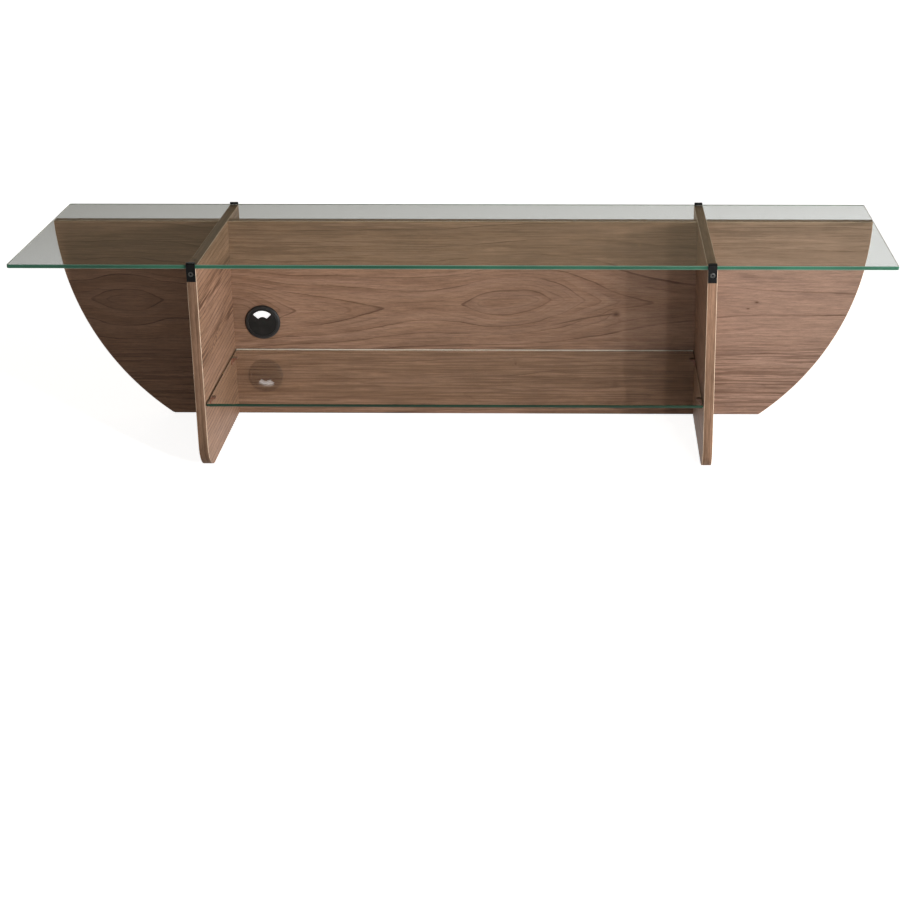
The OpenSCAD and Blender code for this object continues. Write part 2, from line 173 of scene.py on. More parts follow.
class ConsoleFinish(bpy.types.PropertyGroup):
    """Colours of the finishes."""

    walnut: colour("Walnut", "Ground colour of the walnut veneer", (0.302, 0.168, 0.102))
    walnut_dark: colour("Walnut figure", "Colour of the veneer's dark growth lines", (0.105, 0.050, 0.028))
    walnut_pink: colour("Walnut blush", "Colour of the veneer's paler, pinker bands", (0.365, 0.211, 0.137))
    # painted sheen: the panel's brightly lit right end is painted towards this paler, pinker colour
    walnut_pale: colour("Bleached walnut", "Colour towards which the panel's end pales", (0.36, 0.27, 0.24))
    edging: colour("Edging", "Ground colour of the walnut edging", (0.225, 0.135, 0.085))
    # painted highlight: this pale colour on the edging's rounded arrises stands in for light caught along
    # them
    edging_arris: colour("Edging arris", "Colour of the edging's worn arrises", (0.78, 0.58, 0.42))
    glass: colour("Top glass", "Tint that the top glass gives to what lies under it", (0.97, 1.00, 0.93))
    shelf_glass: colour("Lower glass", "Tint of the lower glass shelf", (0.94, 0.96, 0.92))
    glass_edge: colour("Top glass edge", "Colour of the top glass's edges", (0.022, 0.088, 0.053))
    # painted shade: the lower glass's edges are painted darker than the top glass's, as the shelf lies in
    # shade under the top
    shelf_glass_edge: colour("Lower glass edge", "Colour of the lower glass's edges", (0.012, 0.034, 0.020))
    # the dull arris colours are partly the frosted grind and partly a painted highlight; the lit arris
    # colours are a painted highlight where light comes through the plate
    arris_low: colour("Dull arris", "Darker colour of the glass's dull ground arrises", (0.13, 0.26, 0.20))
    arris_high: colour("Dull arris grit", "Paler colour of those arrises", (0.22, 0.38, 0.30))
    arris_lit_low: colour("Lit arris", "Darker colour of the glass's lit arrises", (0.62, 0.58, 0.48))
    arris_lit_high: colour("Lit arris grit", "Paler colour of those arrises", (0.82, 0.78, 0.68))
    black: colour("Black", "Colour of the powder-coated clips", (0.005, 0.005, 0.005))
    steel: colour("Screws", "Colour of the clip screws", (0.070, 0.070, 0.066))
    # painted shade: the hexagon sockets are painted near black where shade falls in the recess
    socket: colour("Socket", "Colour of the screws' dark hexagon sockets", (0.003, 0.003, 0.003))
    brass: colour("Inserts", "Colour of the threaded inserts", (0.66, 0.50, 0.26))
    rubber: colour("Rubber", "Colour of the clips' liners", (0.03, 0.03, 0.03))
    silicone: colour("Silicone", "Darker colour of the clear pads on wood", (0.26, 0.18, 0.13))
    silicone_pale: colour("Pale silicone", "Paler colour of those pads", (0.32, 0.23, 0.17))
    plastic: colour("Black plastic", "Colour of the cable grommet", (0.011, 0.010, 0.009))
    support: colour("Brown plastic", "Colour of the shelf supports", (0.170, 0.055, 0.033))
    strip: colour("Floor strip", "Colour of the floor strips", (0.020, 0.014, 0.010))
    floor: colour("Floor", "Colour of the studio floor", (0.80, 0.80, 0.80))


class ConsoleStudio(bpy.types.PropertyGroup):
    """The studio's camera and lamps."""

    camera_place: FloatVectorProperty(
        name="Camera place", description="Position of the camera",
        default=(0.2617, -3.8447, 1.4991), subtype="TRANSLATION", unit="LENGTH",
    )
    camera_turn: FloatVectorProperty(
        name="Camera turn", description="Pitch, roll and yaw of the camera",
        default=(pi / 2 - 0.3490, -0.0023, 0.0163), subtype="EULER", unit="ROTATION",
    )
    lens: FloatProperty(
        name="Lens", description="Focal length in millimetres on a 36 mm sensor", default=74.35,
        min=10.0, unit="CAMERA",
    )
    shift: FloatVectorProperty(
        name="Shift", description="Sideways and upward shift of the picture", size=2,
        default=(-0.1137, -0.0673),
    )
    row_power: power("Row of lamps", "Power of the row of small lamps at the front right", 36.0)
    side_power: power("Side lamp", "Power of the wide lamp on the right", 166.0)
    side_colour: colour("Side lamp colour", "Colour of the wide lamp on the right", (0.94, 0.98, 1.0))
    front_power: power("Front lamp", "Power of the wide lamp in front", 8.5)
    back_power: power("Back lamp", "Power of the low lamp behind", 25.0)
    room: colour("Room", "Dim light of the studio's walls and ceiling", (0.128, 0.119, 0.108))
    wall: colour("Rear wall", "Dim light of the wall behind", (0.155, 0.120, 0.080))


GROUPS = {
    "console_boards": ConsoleBoards,
    "console_glass": ConsoleGlass,
    "console_fittings": ConsoleFittings,
    "console_finish": ConsoleFinish,
    "console_studio": ConsoleStudio,
}


# ---- outlines ----


def arc(centre, radius, start, end, steps):
    """Points on an arc from one angle to another, in radians, both ends included."""
    angles = [start + (end - start) * k / steps for k in range(steps + 1)]
    return [Vector((centre[0] + radius * cos(a), centre[1] + radius * sin(a))) for a in angles]


def filleted(corners, steps=8):
    """An outline from (x, y, radius) corners, each turned into an arc of its radius."""
    points = []
    for k, (x, y, radius) in enumerate(corners):
        here = Vector((x, y))
        if radius == 0:
            points.append(here)
            continue
        before = (Vector(corners[k - 1][:2]) - here).normalized()
        after = (Vector(corners[(k + 1) % len(corners)][:2]) - here).normalized()
        half = before.angle(after) / 2
        centre = here + (before + after).normalized() * (radius / sin(half))
        start = here + before * (radius / tan(half)) - centre
        end = here + after * (radius / tan(half)) - centre
        turn = start.angle_signed(end)
        for step in range(steps + 1):
            spun = start.copy()
            spun.rotate(Matrix.Rotation(-turn * step / steps, 2))
            points.append(centre + spun)
    return points


def rectangle(low, high, radius=0.0):
    """Corners of a rectangle, for filleted()."""
    return [
        (low[0], low[1], radius), (high[0], low[1], radius),
        (high[0], high[1], radius), (low[0], high[1], radius),
    ]


def area(loop):
    """Signed area of an outline: positive if it runs anticlockwise."""
    return sum(a.x * b.y - b.x * a.y for a, b in zip(loop, loop[1:] + loop[:1])) / 2


def drawn_in(loop, inset):
    """The outline moved towards its left, which is where its material lies."""
    moved = []
    for before, point, after in zip(loop[-1:] + loop[:-1], loop, loop[1:] + loop[:1]):
        one = (point - before).normalized()
        two = (after - point).normalized()
        middle = Vector((-one.y - two.y, one.x + two.x))
        moved.append(point + middle * (2 * inset / middle.length_squared))
    return moved


def mirrored(outline, sign):
    """The outline as it is, or mirrored left to right where the sign is negative."""
    return [Vector((sign * p.x, p.y)) for p in outline]


def plan(a, b, t):
    """An outline drawn in X and Y, thick along Z."""
    return Vector((a, b, t))


def facing(a, b, t):
    """An outline drawn in X and Z, thick along Y."""
    return Vector((a, t, b))


def sideways(a, b, t):
    """An outline drawn in Y and Z, thick along X."""
    return Vector((t, a, b))


def outward(a, b, t):
    """An outline drawn in X and Z whose thickness runs forward, along -Y."""
    return Vector((a, -t, b))


# ---- solids ----


def bridge(shape, rings, closed=False):
    """Faces between rings of as many vertices each; a ring of one vertex is a tip."""
    pairs = zip(rings, rings[1:] + rings[:1]) if closed else zip(rings, rings[1:])
    for ring, following in pairs:
        count = max(len(ring), len(following))
        for k in range(count):
            corners = [
                ring[k % len(ring)], ring[(k + 1) % len(ring)],
                following[(k + 1) % len(following)], following[k % len(following)],
            ]
            corners = [v for i, v in enumerate(corners) if v not in corners[:i]]
            shape.faces.new(corners)


def prism(outline, near, far, place, arris=0.0, steps=3, holes=()):
    """A solid of that outline and its holes, from near to far, with rounded arrises."""
    shape = bmesh.new()
    loops = [outline if area(outline) > 0 else outline[::-1]]
    loops += [hole if area(hole) < 0 else hole[::-1] for hole in holes]
    turns = [pi / 2 * k / steps for k in range(steps + 1)] if arris else [pi / 2]
    slopes = [(arris * (1 - sin(t)), arris * (1 - cos(t))) for t in turns]
    levels = [(inset, near + rise) for inset, rise in slopes]
    levels += [(inset, far - rise) for inset, rise in reversed(slopes)]
    stacks = []
    for loop in loops:
        rings = []
        for inset, t in levels:
            points = drawn_in(loop, inset) if inset else loop
            rings.append([shape.verts.new(place(p.x, p.y, t)) for p in points])
        bridge(shape, rings)
        stacks.append(rings)
    for end in (0, -1):
        vertices = [v for rings in stacks for v in rings[end]]
        inset = levels[end][0]
        flat = [[p.to_3d() for p in (drawn_in(loop, inset) if inset else loop)] for loop in loops]
        for corners in tessellate_polygon(flat):
            shape.faces.new([vertices[k] for k in corners])
    bmesh.ops.recalc_face_normals(shape, faces=shape.faces)
    return shape


def turned(section, place, segments=64):
    """A solid turned round an axis from (radius, height) points.

    A radius of 0 closes an end. A radius can be a function of the share of a turn. A third
    number is a count of flats, whose middles then lie at that radius.
    """
    shape = bmesh.new()
    rings = []
    for radius, height, *flats in section:
        if radius == 0:
            rings.append([shape.verts.new(place(0, 0, height))])
            continue
        ring = []
        for k in range(segments):
            turn = 2 * pi * k / segments
            reach = radius(k / segments) if callable(radius) else radius
            if flats:
                face = 2 * pi / flats[0]
                reach /= cos(turn % face - face / 2)
            ring.append(shape.verts.new(place(reach * cos(turn), reach * sin(turn), height)))
        rings.append(ring)
    bridge(shape, rings, closed=section[0][0] != 0)
    bmesh.ops.recalc_face_normals(shape, faces=shape.faces)
    return shape


def pad_disc(radius, thickness):
    """A small round pad with softened rims."""
    soften = 0.25 * MM
    foot = [(0, 0), (radius - soften, 0), (radius, soften)]
    return turned(foot + [(r, thickness - height) for r, height in reversed(foot)], plan, 48)


def drill(radius, reach):
    """A drill along -Y that goes in from just in front of a face."""
    return turned([(0, -reach), (radius, -reach), (radius, MM), (0, MM)], outward, 32)


def combined(shape, other, operation):
    """Two shapes put together by a Boolean operation."""
    objects = []
    for part in (shape, other):
        mesh = bpy.data.meshes.new("part")
        part.to_mesh(mesh)
        part.free()
        objects.append(bpy.data.objects.new("part", mesh))
        bpy.context.scene.collection.objects.link(objects[-1])
    boolean = objects[0].modifiers.new("Boolean", "BOOLEAN")
    boolean.operation = operation
    boolean.solver = "EXACT"
    boolean.object = objects[1]
    view = bpy.context.evaluated_depsgraph_get()
    result = bmesh.new()
    result.from_object(objects[0], view)
    for part in objects:
        mesh = part.data
        bpy.data.objects.remove(part)
        bpy.data.meshes.remove(mesh)
    bmesh.ops.remove_doubles(result, verts=result.verts, dist=1e-6)
    bmesh.ops.dissolve_limit(
        result, angle_limit=radians(0.5), verts=result.verts, edges=result.edges,
    )
    return result


def rounded(shape, edges, width, steps=3):
    """Rounds those edges, and gives the new faces."""
    return bmesh.ops.bevel(
        shape, geom=edges, offset=width, offset_type="OFFSET", segments=steps, profile=0.5,
        affect="EDGES", clamp_overlap=True,
    )["faces"]


def softened(shape, width, steps=3):
    """The shape with every sharp edge rounded."""
    least = radians(30)
    sharp = [e for e in shape.edges if len(e.link_faces) == 2 and e.calc_face_angle(0) > least]
    rounded(shape, sharp, width, steps)
    return shape


def moved(shape, matrix):
    """The shape put in its place."""
    bmesh.ops.transform(shape, matrix=matrix, verts=shape.verts)
    return shape


def corner(side, end):
    """Where a corner of the console lies: there -Y points out of the upright's end face."""
    low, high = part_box(f"{side}_upright_{end}_edging")
    face = low.y if end == "front" else high.y
    turn = Matrix.Rotation(pi if end == "rear" else 0, 4, "Z")
    return Matrix.Translation(((low.x + high.x) / 2, face, 0)) @ turn


def make(name, shape, nodes, finishes, body="console", grain=None):
    """Turns a shape into a finished piece that rides on its body and stands for its nodes."""
    sharp = radians(38)
    for edge in shape.edges:
        edge.smooth = edge.calc_face_angle(0) < sharp
    for face in shape.faces:
        face.smooth = True
    mesh = bpy.data.meshes.new(name)
    shape.to_mesh(mesh)
    shape.free()
    for finish_used in finishes:
        mesh.materials.append(finish_used)
    if grain:
        laid = mesh.attributes.new("grain", "FLOAT_VECTOR", "POINT")
        for vertex, value in zip(mesh.vertices, laid.data):
            value.vector = grain(vertex.co)
    piece = bpy.data.objects.new(name, mesh)
    bpy.context.scene.collection.objects.link(piece)
    piece.modifiers.new("Weighted normals", "WEIGHTED_NORMAL").keep_sharp = True
    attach(piece, body)
    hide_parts(*nodes)


# ---- finishes ----


class Nodes:
    """A node tree round its surface node, with short ways to add nodes."""

    def __init__(self, tree, surface):
        self.tree = tree
        self.surface = surface

    def add(self, kind, inputs=None, **settings):
        """A node with its settings, and its inputs linked or set."""
        node = self.tree.nodes.new("ShaderNode" + kind)
        for key, value in settings.items():
            setattr(node, key, value)
        self.feed(node, inputs or {})
        return node

    def feed(self, node, inputs):
        """Links each socket, and sets each plain value."""
        for key, value in inputs.items():
            if isinstance(value, bpy.types.NodeSocket):
                self.tree.links.new(value, node.inputs[key])
            else:
                node.inputs[key].default_value = value

    def sum(self, operation, a, b=0.0, c=0.0):
        """One step of arithmetic."""
        return self.add("Math", {0: a, 1: b, 2: c}, operation=operation).outputs[0]

    def chain(self, operation, first, *others):
        """One operation taken through several values."""
        for other in others:
            first = self.sum(operation, first, other)
        return first

    def spread(self, value, low, high, start=0.0, end=1.0, smooth=True):
        """A value from one range turned into another."""
        kind = "SMOOTHSTEP" if smooth else "LINEAR"
        inputs = {"Value": value, "From Min": low, "From Max": high, "To Min": start, "To Max": end}
        return self.add("MapRange", inputs, interpolation_type=kind).outputs[0]

    def even(self, cloud, start, end):
        """A cloudy value spread evenly between two others."""
        return self.spread(cloud, 0.3, 0.7, start, end, False)

    def vector_sum(self, operation, a, b):
        """One step of arithmetic on vectors."""
        return self.add("VectorMath", {0: a, 1: b}, operation=operation).outputs[0]

    def size_of(self, vector):
        """A vector's length."""
        return self.add("VectorMath", {0: vector}, operation="LENGTH").outputs["Value"]

    def profile(self, value, points):
        """A value read off a smooth curve through (value, height) points."""
        start, end = points[0][0], points[-1][0]
        low, high = min(p[1] for p in points), max(p[1] for p in points)
        node = self.add("FloatCurve", {"Value": self.spread(value, start, end, smooth=False)})
        curve = node.mapping.curves[0]
        for k, (place, height) in enumerate(points):
            spot = ((place - start) / (end - start), (height - low) / (high - low))
            point = curve.points[k] if k < 2 else curve.points.new(*spot)
            point.location = spot
            point.handle_type = "AUTO_CLAMPED"
        node.mapping.update()
        return self.sum("MULTIPLY_ADD", node.outputs[0], high - low, low)

    def noise(self, vector, scale, detail=2.0, rough=0.5):
        """A cloudy value from 0 to 1."""
        inputs = {"Vector": vector, "Scale": scale, "Detail": detail, "Roughness": rough}
        return self.add("TexNoise", inputs).outputs[0]

    def mix(self, share, first, second, kind="MIX"):
        """Two colours mixed."""
        inputs = {0: share, 6: first, 7: second}
        return self.add("Mix", inputs, data_type="RGBA", blend_type=kind).outputs[2]

    def tones(self, cloud, first, second, narrow=0.0):
        """A colour that drifts between two tones."""
        return self.mix(self.spread(cloud, 0.3 + narrow, 0.7 - narrow), rgba(first), rgba(second))

    def join(self, x, y=0.0, z=0.0):
        """Three values as a vector."""
        return self.add("CombineXYZ", {0: x, 1: y, 2: z}).outputs[0]

    def split(self, vector):
        """A vector's three values."""
        return self.add("SeparateXYZ", {0: vector}).outputs

    def place(self):
        """The place on the piece, in its own metres."""
        return self.add("TexCoord").outputs["Object"]

    def stretched_place(self, scale):
        """The place on the piece, stretched."""
        return self.add("Mapping", {"Vector": self.place(), "Scale": scale}).outputs[0]

    def rays(self):
        """The kinds of ray."""
        return self.add("LightPath").outputs

    def lets_through(self, share):
        """Opacity that lets a share of the lamps' light through."""
        return self.sum("MULTIPLY_ADD", self.rays()["Is Shadow Ray"], -share, 1.0)

    def bump(self, height, strength, distance):
        """Relief for the surface."""
        inputs = {"Height": height, "Strength": strength, "Distance": distance}
        self.feed(self.surface, {"Normal": self.add("Bump", inputs).outputs[0]})


class Finish(Nodes):
    """A material's nodes."""

    def __init__(self, name):
        self.material = bpy.data.materials.new(name)
        self.material.use_nodes = True
        tree = self.material.node_tree
        super().__init__(tree, tree.nodes["Principled BSDF"])

    def made(self, **inputs):
        """The material, its surface fed with those inputs."""
        self.feed(self.surface, {key.replace("_", " "): value for key, value in inputs.items()})
        return self.material


def rgba(tone):
    """A colour with its alpha."""
    return (*tone, 1.0)


def times(factor, tone, lift=0.0):
    """A colour made paler or darker."""
    return [min(1.0, factor * c + lift) for c in tone]


def finish(builder):
    """Keeps one material for each set of arguments of a finish."""
    kept = {}

    def wrapped(*key):
        if key not in kept:
            kept[key] = builder(*key)
        return kept[key]

    return wrapped


# How the growth rings lie under each veneered face, in metres. Far from its heart line a face
# shows rings as wide as `ring`, which bend within `bend` of the heart. The heart line has a
# height and a rise at places along the grain: where the heart sinks behind the face the rings
# open out, and where it rises they close in a point. It strays by `sway`, and what lies below
# the depth `core` is darker. Fine lines lie between the rings, from the least to the most in
# patches. Bands are heights with crowded dark lines, each about 1 / `crowd` wide. Tone makes
# the whole paler, painted_sheen gives the share of the pale tone along the grain, a painted
# sheen on the panel's brightly lit right end, and shift sets the boards apart. Marks are small
# knots, as (along, across, half length, half width), and a branch is a thin dark line from one
# place to another.
FIGURES = {
    "panel": dict(
        shift=0.0, ring=0.042, bend=0.075, core=-0.084, crowd=300.0, sway=0.005, tone=0.95,
        fine=(0.0, 0.45), painted_sheen=[(-0.9, 0.0), (0.45, 0.0), (0.62, 0.25), (0.9, 0.25)],
        heart=[(-0.9, 0.272), (-0.66, 0.270), (-0.45, 0.248), (-0.166, 0.255), (0.093, 0.266),
               (0.276, 0.274), (0.435, 0.269), (0.9, 0.262)],
        rise=[(-0.9, 0.004), (-0.841, 0.0), (-0.75, -0.024), (-0.66, 0.0), (-0.60, 0.004),
              (-0.515, -0.150), (-0.459, -0.128), (-0.376, -0.086), (-0.303, -0.070),
              (-0.166, -0.042), (-0.09, -0.035), (-0.014, -0.042), (0.093, -0.069), (0.2, -0.042),
              (0.276, 0.0), (0.435, 0.042), (0.66, 0.058), (0.9, 0.06)],
        bands=[(0.0, 1.2), (0.05, 2.0), (0.12, 2.0), (0.17, 1.0), (0.23, 0.4), (0.34, 0.5),
               (0.39, 1.4), (0.46, 1.2)],
        marks=[(0.340, 0.239, 0.010, 0.007), (0.652, 0.268, 0.006, 0.003),
               (0.633, 0.253, 0.005, 0.002), (0.115, 0.118, 0.004, 0.005)],
        branch=((0.171, 0.205), (0.330, 0.240)),
    ),
    "left_upright": dict(
        shift=3.7, ring=0.034, bend=0.10, core=-1.0, crowd=170.0, sway=0.0015, tone=1.15,
        fine=(0.6, 1.1), heart=[(-0.25, 0.315), (0.25, 0.325)], rise=[(-0.25, 0.0), (0.25, 0.012)],
        bands=[(0.0, 0.8), (0.225, 0.9), (0.254, 3.0), (0.283, 0.9), (0.336, 0.9), (0.366, 3.0),
               (0.395, 0.9), (0.46, 1.1)],
        marks=[(-0.075, 0.262, 0.012, 0.004), (-0.095, 0.251, 0.006, 0.004),
               (-0.13, 0.246, 0.007, 0.003)],
        branch=((-0.16, 0.240), (0.02, 0.281)),
    ),
    "right_upright": dict(
        shift=8.1, ring=0.030, bend=0.10, core=-1.0, crowd=220.0, sway=0.004, tone=1.0,
        fine=(0.1, 0.6), heart=[(-0.25, 0.19), (0.25, 0.21)],
        rise=[(-0.25, 0.02), (-0.05, -0.03), (0.08, 0.0), (0.25, 0.03)],
        bands=[(0.0, 0.3), (0.12, 0.8), (0.2, 0.2), (0.33, 0.9), (0.46, 0.3)],
        marks=[(0.16, 0.12, 0.008, 0.006)], branch=((0.05, 0.10), (0.15, 0.12)),
    ),
    "edging": dict(
        shift=5.3, ring=0.009, bend=0.2, core=-1.0, crowd=600.0, sway=0.0005, tone=1.0,
        fine=(0.0, 0.38), heart=[(-1.0, 0.5), (1.0, 0.51)], rise=[(-1.0, 0.0), (1.0, 0.01)],
        bands=[(-1.0, 0.5), (1.0, 0.6)],
    ),
}


class Veneer(Finish):
    """The figure of one board's face, drawn by the lay of its grain."""

    def __init__(self, name, lay):
        super().__init__(name)
        self.lay = lay
        self.grain = self.add("Attribute", attribute_name="grain").outputs["Vector"]
        self.along, self.across, _ = self.split(self.grain)

    def clouds(self, along_scale, across_scale, offset, detail=2.0, rough=0.5):
        """A cloudy value, stretched along the grain."""
        x = self.sum("MULTIPLY", self.along, along_scale)
        y = self.sum("MULTIPLY", self.across, across_scale)
        return self.noise(self.join(x, y, offset + self.lay["shift"]), 1.0, detail, rough)

    def heart_distance(self):
        """The distance from the heart line, which sways and ripples."""
        sway, ripple = self.lay["sway"], 0.0009
        off = self.sum("SUBTRACT", self.across, self.profile(self.along, self.lay["heart"]))
        slow = self.spread(self.clouds(4.0, 12.0, 0.3, 1.0), 0.25, 0.75, -sway, sway, False)
        quick = self.spread(self.clouds(34.0, 120.0, 1.3), 0.2, 0.8, -ripple, ripple, False)
        return self.chain("ADD", off, slow, quick)

    def knots(self):
        """The small knots: 1 in their middles, 0 away from them."""
        near = 0.0
        for x, y, half_long, half_wide in self.lay.get("marks", ()):
            apart = self.vector_sum("SUBTRACT", self.grain, (x, y, 0.0))
            apart = self.vector_sum("MULTIPLY", apart, (1 / half_long, 1 / half_wide, 0.0))
            near = self.sum("MAXIMUM", near, self.spread(self.size_of(apart), 0.0, 3.0, 1.0, 0.0))
        return near

    def ring_depth(self, knots):
        """The depth of the rings at the face: even far from the heart, and pushed round knots."""
        tip_radius, tip_inset, push = 0.005, 0.004, 0.012
        off = self.heart_distance()
        blunt = self.sum("MULTIPLY_ADD", off, off, tip_radius**2)
        away = self.sum("SUBTRACT", self.sum("SQRT", blunt), tip_inset)
        near = self.sum("MULTIPLY", blunt, self.lay["bend"] ** -2)
        fade = self.sum("DIVIDE", 1.0, self.sum("MULTIPLY_ADD", near, near, 1.0))
        depth = self.sum("MULTIPLY_ADD", self.profile(self.along, self.lay["rise"]), fade, away)
        return self.sum("MULTIPLY_ADD", knots, push, depth)

    def ring_lines(self, rings, count, width, least, most, offset):
        """Each ring darkens slowly and ends in a thin dark line."""
        part = self.sum("FRACT", self.sum("MULTIPLY", rings, count))
        slow = self.spread(part, 0.25, 1.0 - width, 0.0, 0.3)
        line = self.spread(part, 1.0 - width, 1.0 - 0.4 * width, 0.0, 0.7)
        last = self.spread(part, 1.0 - 0.25 * width, 1.0, 1.0, 0.0)
        patch = self.spread(self.clouds(7.0, 40.0, offset), 0.32, 0.68, least, most)
        return self.chain("MULTIPLY", self.sum("ADD", slow, line), last, patch)

    def crowded_lines(self):
        """Thin dark lines, crowded in bands."""
        crowd = self.spread(self.clouds(6.0, self.lay["crowd"], 6.3, 2.0, 0.4), 0.47, 0.58)
        return self.chain("MULTIPLY", crowd, self.profile(self.across, self.lay["bands"]), 0.33)

    def branch(self):
        """A thin dark line that bows a little on its way from one place to another."""
        start, end = (Vector(place) for place in self.lay["branch"])
        reach = end - start
        bow, thin, thick = 0.003, 0.0006, 0.0022
        turned_back = self.add("VectorRotate", {
            "Vector": self.vector_sum("SUBTRACT", self.grain, (*start, 0.0)),
            "Angle": -atan2(reach.y, reach.x),
        }, rotation_type="Z_AXIS")
        along, across, _ = self.split(turned_back.outputs[0])
        wave = self.sum("SINE", self.sum("MULTIPLY", along, pi / reach.length))
        bowed = self.sum("ABSOLUTE", self.sum("MULTIPLY_ADD", wave, -bow, across))
        return self.chain(
            "MULTIPLY", self.spread(bowed, thin, thick, 0.8, 0.0),
            self.spread(along, 0.0, 0.4 * reach.length),
            self.spread(along, reach.length, 1.05 * reach.length, 1.0, 0.0),
        )


@finish
def walnut(figure):
    """Walnut with its rings, fibres and pores, under matt lacquer."""
    look = bpy.context.scene.console_finish
    lay = FIGURES[figure]
    wood = Veneer("walnut_" + figure, lay)
    knots = wood.knots()
    depth = wood.ring_depth(knots)
    rings = wood.sum("DIVIDE", depth, lay["ring"])
    dark = [
        wood.ring_lines(rings, 1.0, 0.10, 0.35, 0.95, 4.3),
        wood.ring_lines(rings, 3.0, 0.26, *lay["fine"], 5.3),
        wood.sum("POWER", knots, 4.0),
        wood.crowded_lines(),
    ]
    if "branch" in lay:
        dark.append(wood.branch())

    # bands of tone that follow the rings, and fibres and pores along the grain
    long, deep = wood.sum("MULTIPLY", wood.along, 3.0), wood.sum("MULTIPLY", depth, 38.0)
    blush = wood.spread(wood.noise(wood.join(long, deep, lay["shift"]), 1.0, 3.0, 0.6), 0.35, 0.68)
    streak = wood.clouds(22.0, 330.0, 8.3, 3.0, 0.6)
    fibre = wood.clouds(70.0, 1100.0, 7.3, 2.0, 0.6)
    cloud = wood.clouds(9.0, 26.0, 2.3, 3.0, 0.6)
    pore = wood.spread(wood.clouds(120.0, 2600.0, 9.3), 0.56, 0.70)

    tone = wood.mix(blush, rgba(look.edging if figure == "edging" else look.walnut), rgba(look.walnut_pink))
    # painted sheen: the panel's right end turns towards the pale tone where the light falls strongest
    if "painted_sheen" in lay:
        tone = wood.mix(wood.profile(wood.along, lay["painted_sheen"]), tone, rgba(look.walnut_pale))
    tone = wood.mix(wood.chain("MAXIMUM", *dark), tone, rgba(look.walnut_dark))
    shade = wood.chain(
        "MULTIPLY", wood.spread(streak, 0.28, 0.72, 0.78 * lay["tone"], 1.19 * lay["tone"], False),
        wood.even(fibre, 0.87, 1.11), wood.even(cloud, 0.90, 1.08),
        wood.spread(pore, 0.0, 1.0, 1.0, 0.72, False),
        wood.spread(depth, lay["core"] - 0.02, lay["core"], 0.84, 1.0),
    )
    relief = wood.sum("SUBTRACT", wood.sum("MULTIPLY", fibre, 0.4), wood.sum("MULTIPLY", pore, 0.6))
    wood.bump(relief, 0.25, 0.0002)
    return wood.made(
        Base_Color=wood.mix(1.0, tone, wood.join(shade, shade, shade), "MULTIPLY"),
        Roughness=wood.even(fibre, 0.50, 0.62),
        Specular_IOR_Level=0.06 if figure == "edging" else 0.25,
    )


@finish
def edging_arris():
    """The edging's rounded arrises, painted pale: a painted highlight where light catches them."""
    pale = bpy.context.scene.console_finish.edging_arris
    arris = Finish("edging_arris")
    cloud = arris.noise(arris.place(), 40.0, 3.0)
    return arris.made(
        Base_Color=arris.tones(cloud, pale, times(0.8, pale)),
        Roughness=arris.even(cloud, 0.4, 0.5), Specular_IOR_Level=0.3,
    )


@finish
def clear_glass(tint):
    """Clear float glass that lets the lamps' light through."""
    glass = Finish("clear_" + tint)
    smear = glass.noise(glass.place(), 3.0, 2.0)
    return glass.made(
        Base_Color=rgba(getattr(bpy.context.scene.console_finish, tint)),
        Roughness=glass.spread(smear, 0.5, 0.7, 0.0, 0.002, False),
        IOR=1.45, Transmission_Weight=1.0, Alpha=glass.lets_through(0.92),
    )


@finish
def glass_edge(tint):
    """The polished green edge of float glass, painted darker on the lower plate as painted shade."""
    tone = getattr(bpy.context.scene.console_finish, tint + "_edge")
    edge = Finish(tint + "_edge")
    cloud = edge.noise(edge.stretched_place((2.3, 6.0, 0.0)), 1.0, 3.0)
    return edge.made(
        Base_Color=edge.tones(cloud, tone, times(1.9, tone), 0.05),
        Roughness=edge.spread(cloud, 0.3, 0.7, 0.08, 0.2), IOR=1.52, Specular_IOR_Level=0.12,
    )


@finish
def glass_arris(kind):
    """The ground arris along a glass edge: its grit is its own, its paleness a painted highlight where
    light comes through the plate, strongest on the lit arrises.
    """
    look = bpy.context.scene.console_finish
    arris = Finish("glass_" + kind)
    grit = arris.noise(arris.place(), 1800.0, 2.0)
    low, high = (rgba(getattr(look, kind + end)) for end in ("_low", "_high"))
    return arris.made(Base_Color=arris.mix(grit, low, high), Roughness=0.45, Specular_IOR_Level=0.3)


@finish
def moulded(name, colour_name, rough, gloss):
    """Moulded or coated surface with a fine grain."""
    tone = getattr(bpy.context.scene.console_finish, colour_name)
    skin = Finish(name)
    grain = skin.noise(skin.place(), 2400.0, 3.0, 0.6)
    cloud = skin.noise(skin.place(), 60.0, 3.0)
    skin.bump(grain, 0.18, 0.00012)
    return skin.made(
        Base_Color=skin.tones(cloud, tone, times(1.35, tone, 0.002), 0.05),
        Roughness=skin.even(grain, rough - 0.05, rough + 0.06), Specular_IOR_Level=gloss,
    )


@finish
def metal(name, colour_name, rough, marks_along):
    """Metal with fine turning marks, so many to a metre along its axis."""
    tone = getattr(bpy.context.scene.console_finish, colour_name)
    bright = Finish(name)
    marks = bright.noise(bright.stretched_place((900.0, marks_along, 900.0)), 1.0, 3.0)
    bright.bump(marks, 0.12, 0.0001)
    return bright.made(
        Base_Color=bright.tones(marks, times(0.72, tone), tone), Metallic=1.0,
        Roughness=bright.even(marks, rough - 0.06, rough + 0.08),
    )


@finish
def brown_plastic():
    """Slightly translucent brown plastic."""
    tone = bpy.context.scene.console_finish.support
    plastic = Finish("brown_plastic")
    cloud = plastic.noise(plastic.place(), 140.0, 3.0)
    return plastic.made(
        Base_Color=plastic.tones(cloud, tone, times(1.4, tone)), Roughness=plastic.even(cloud, 0.28, 0.36),
        Subsurface_Weight=0.15, Subsurface_Scale=0.002,
    )


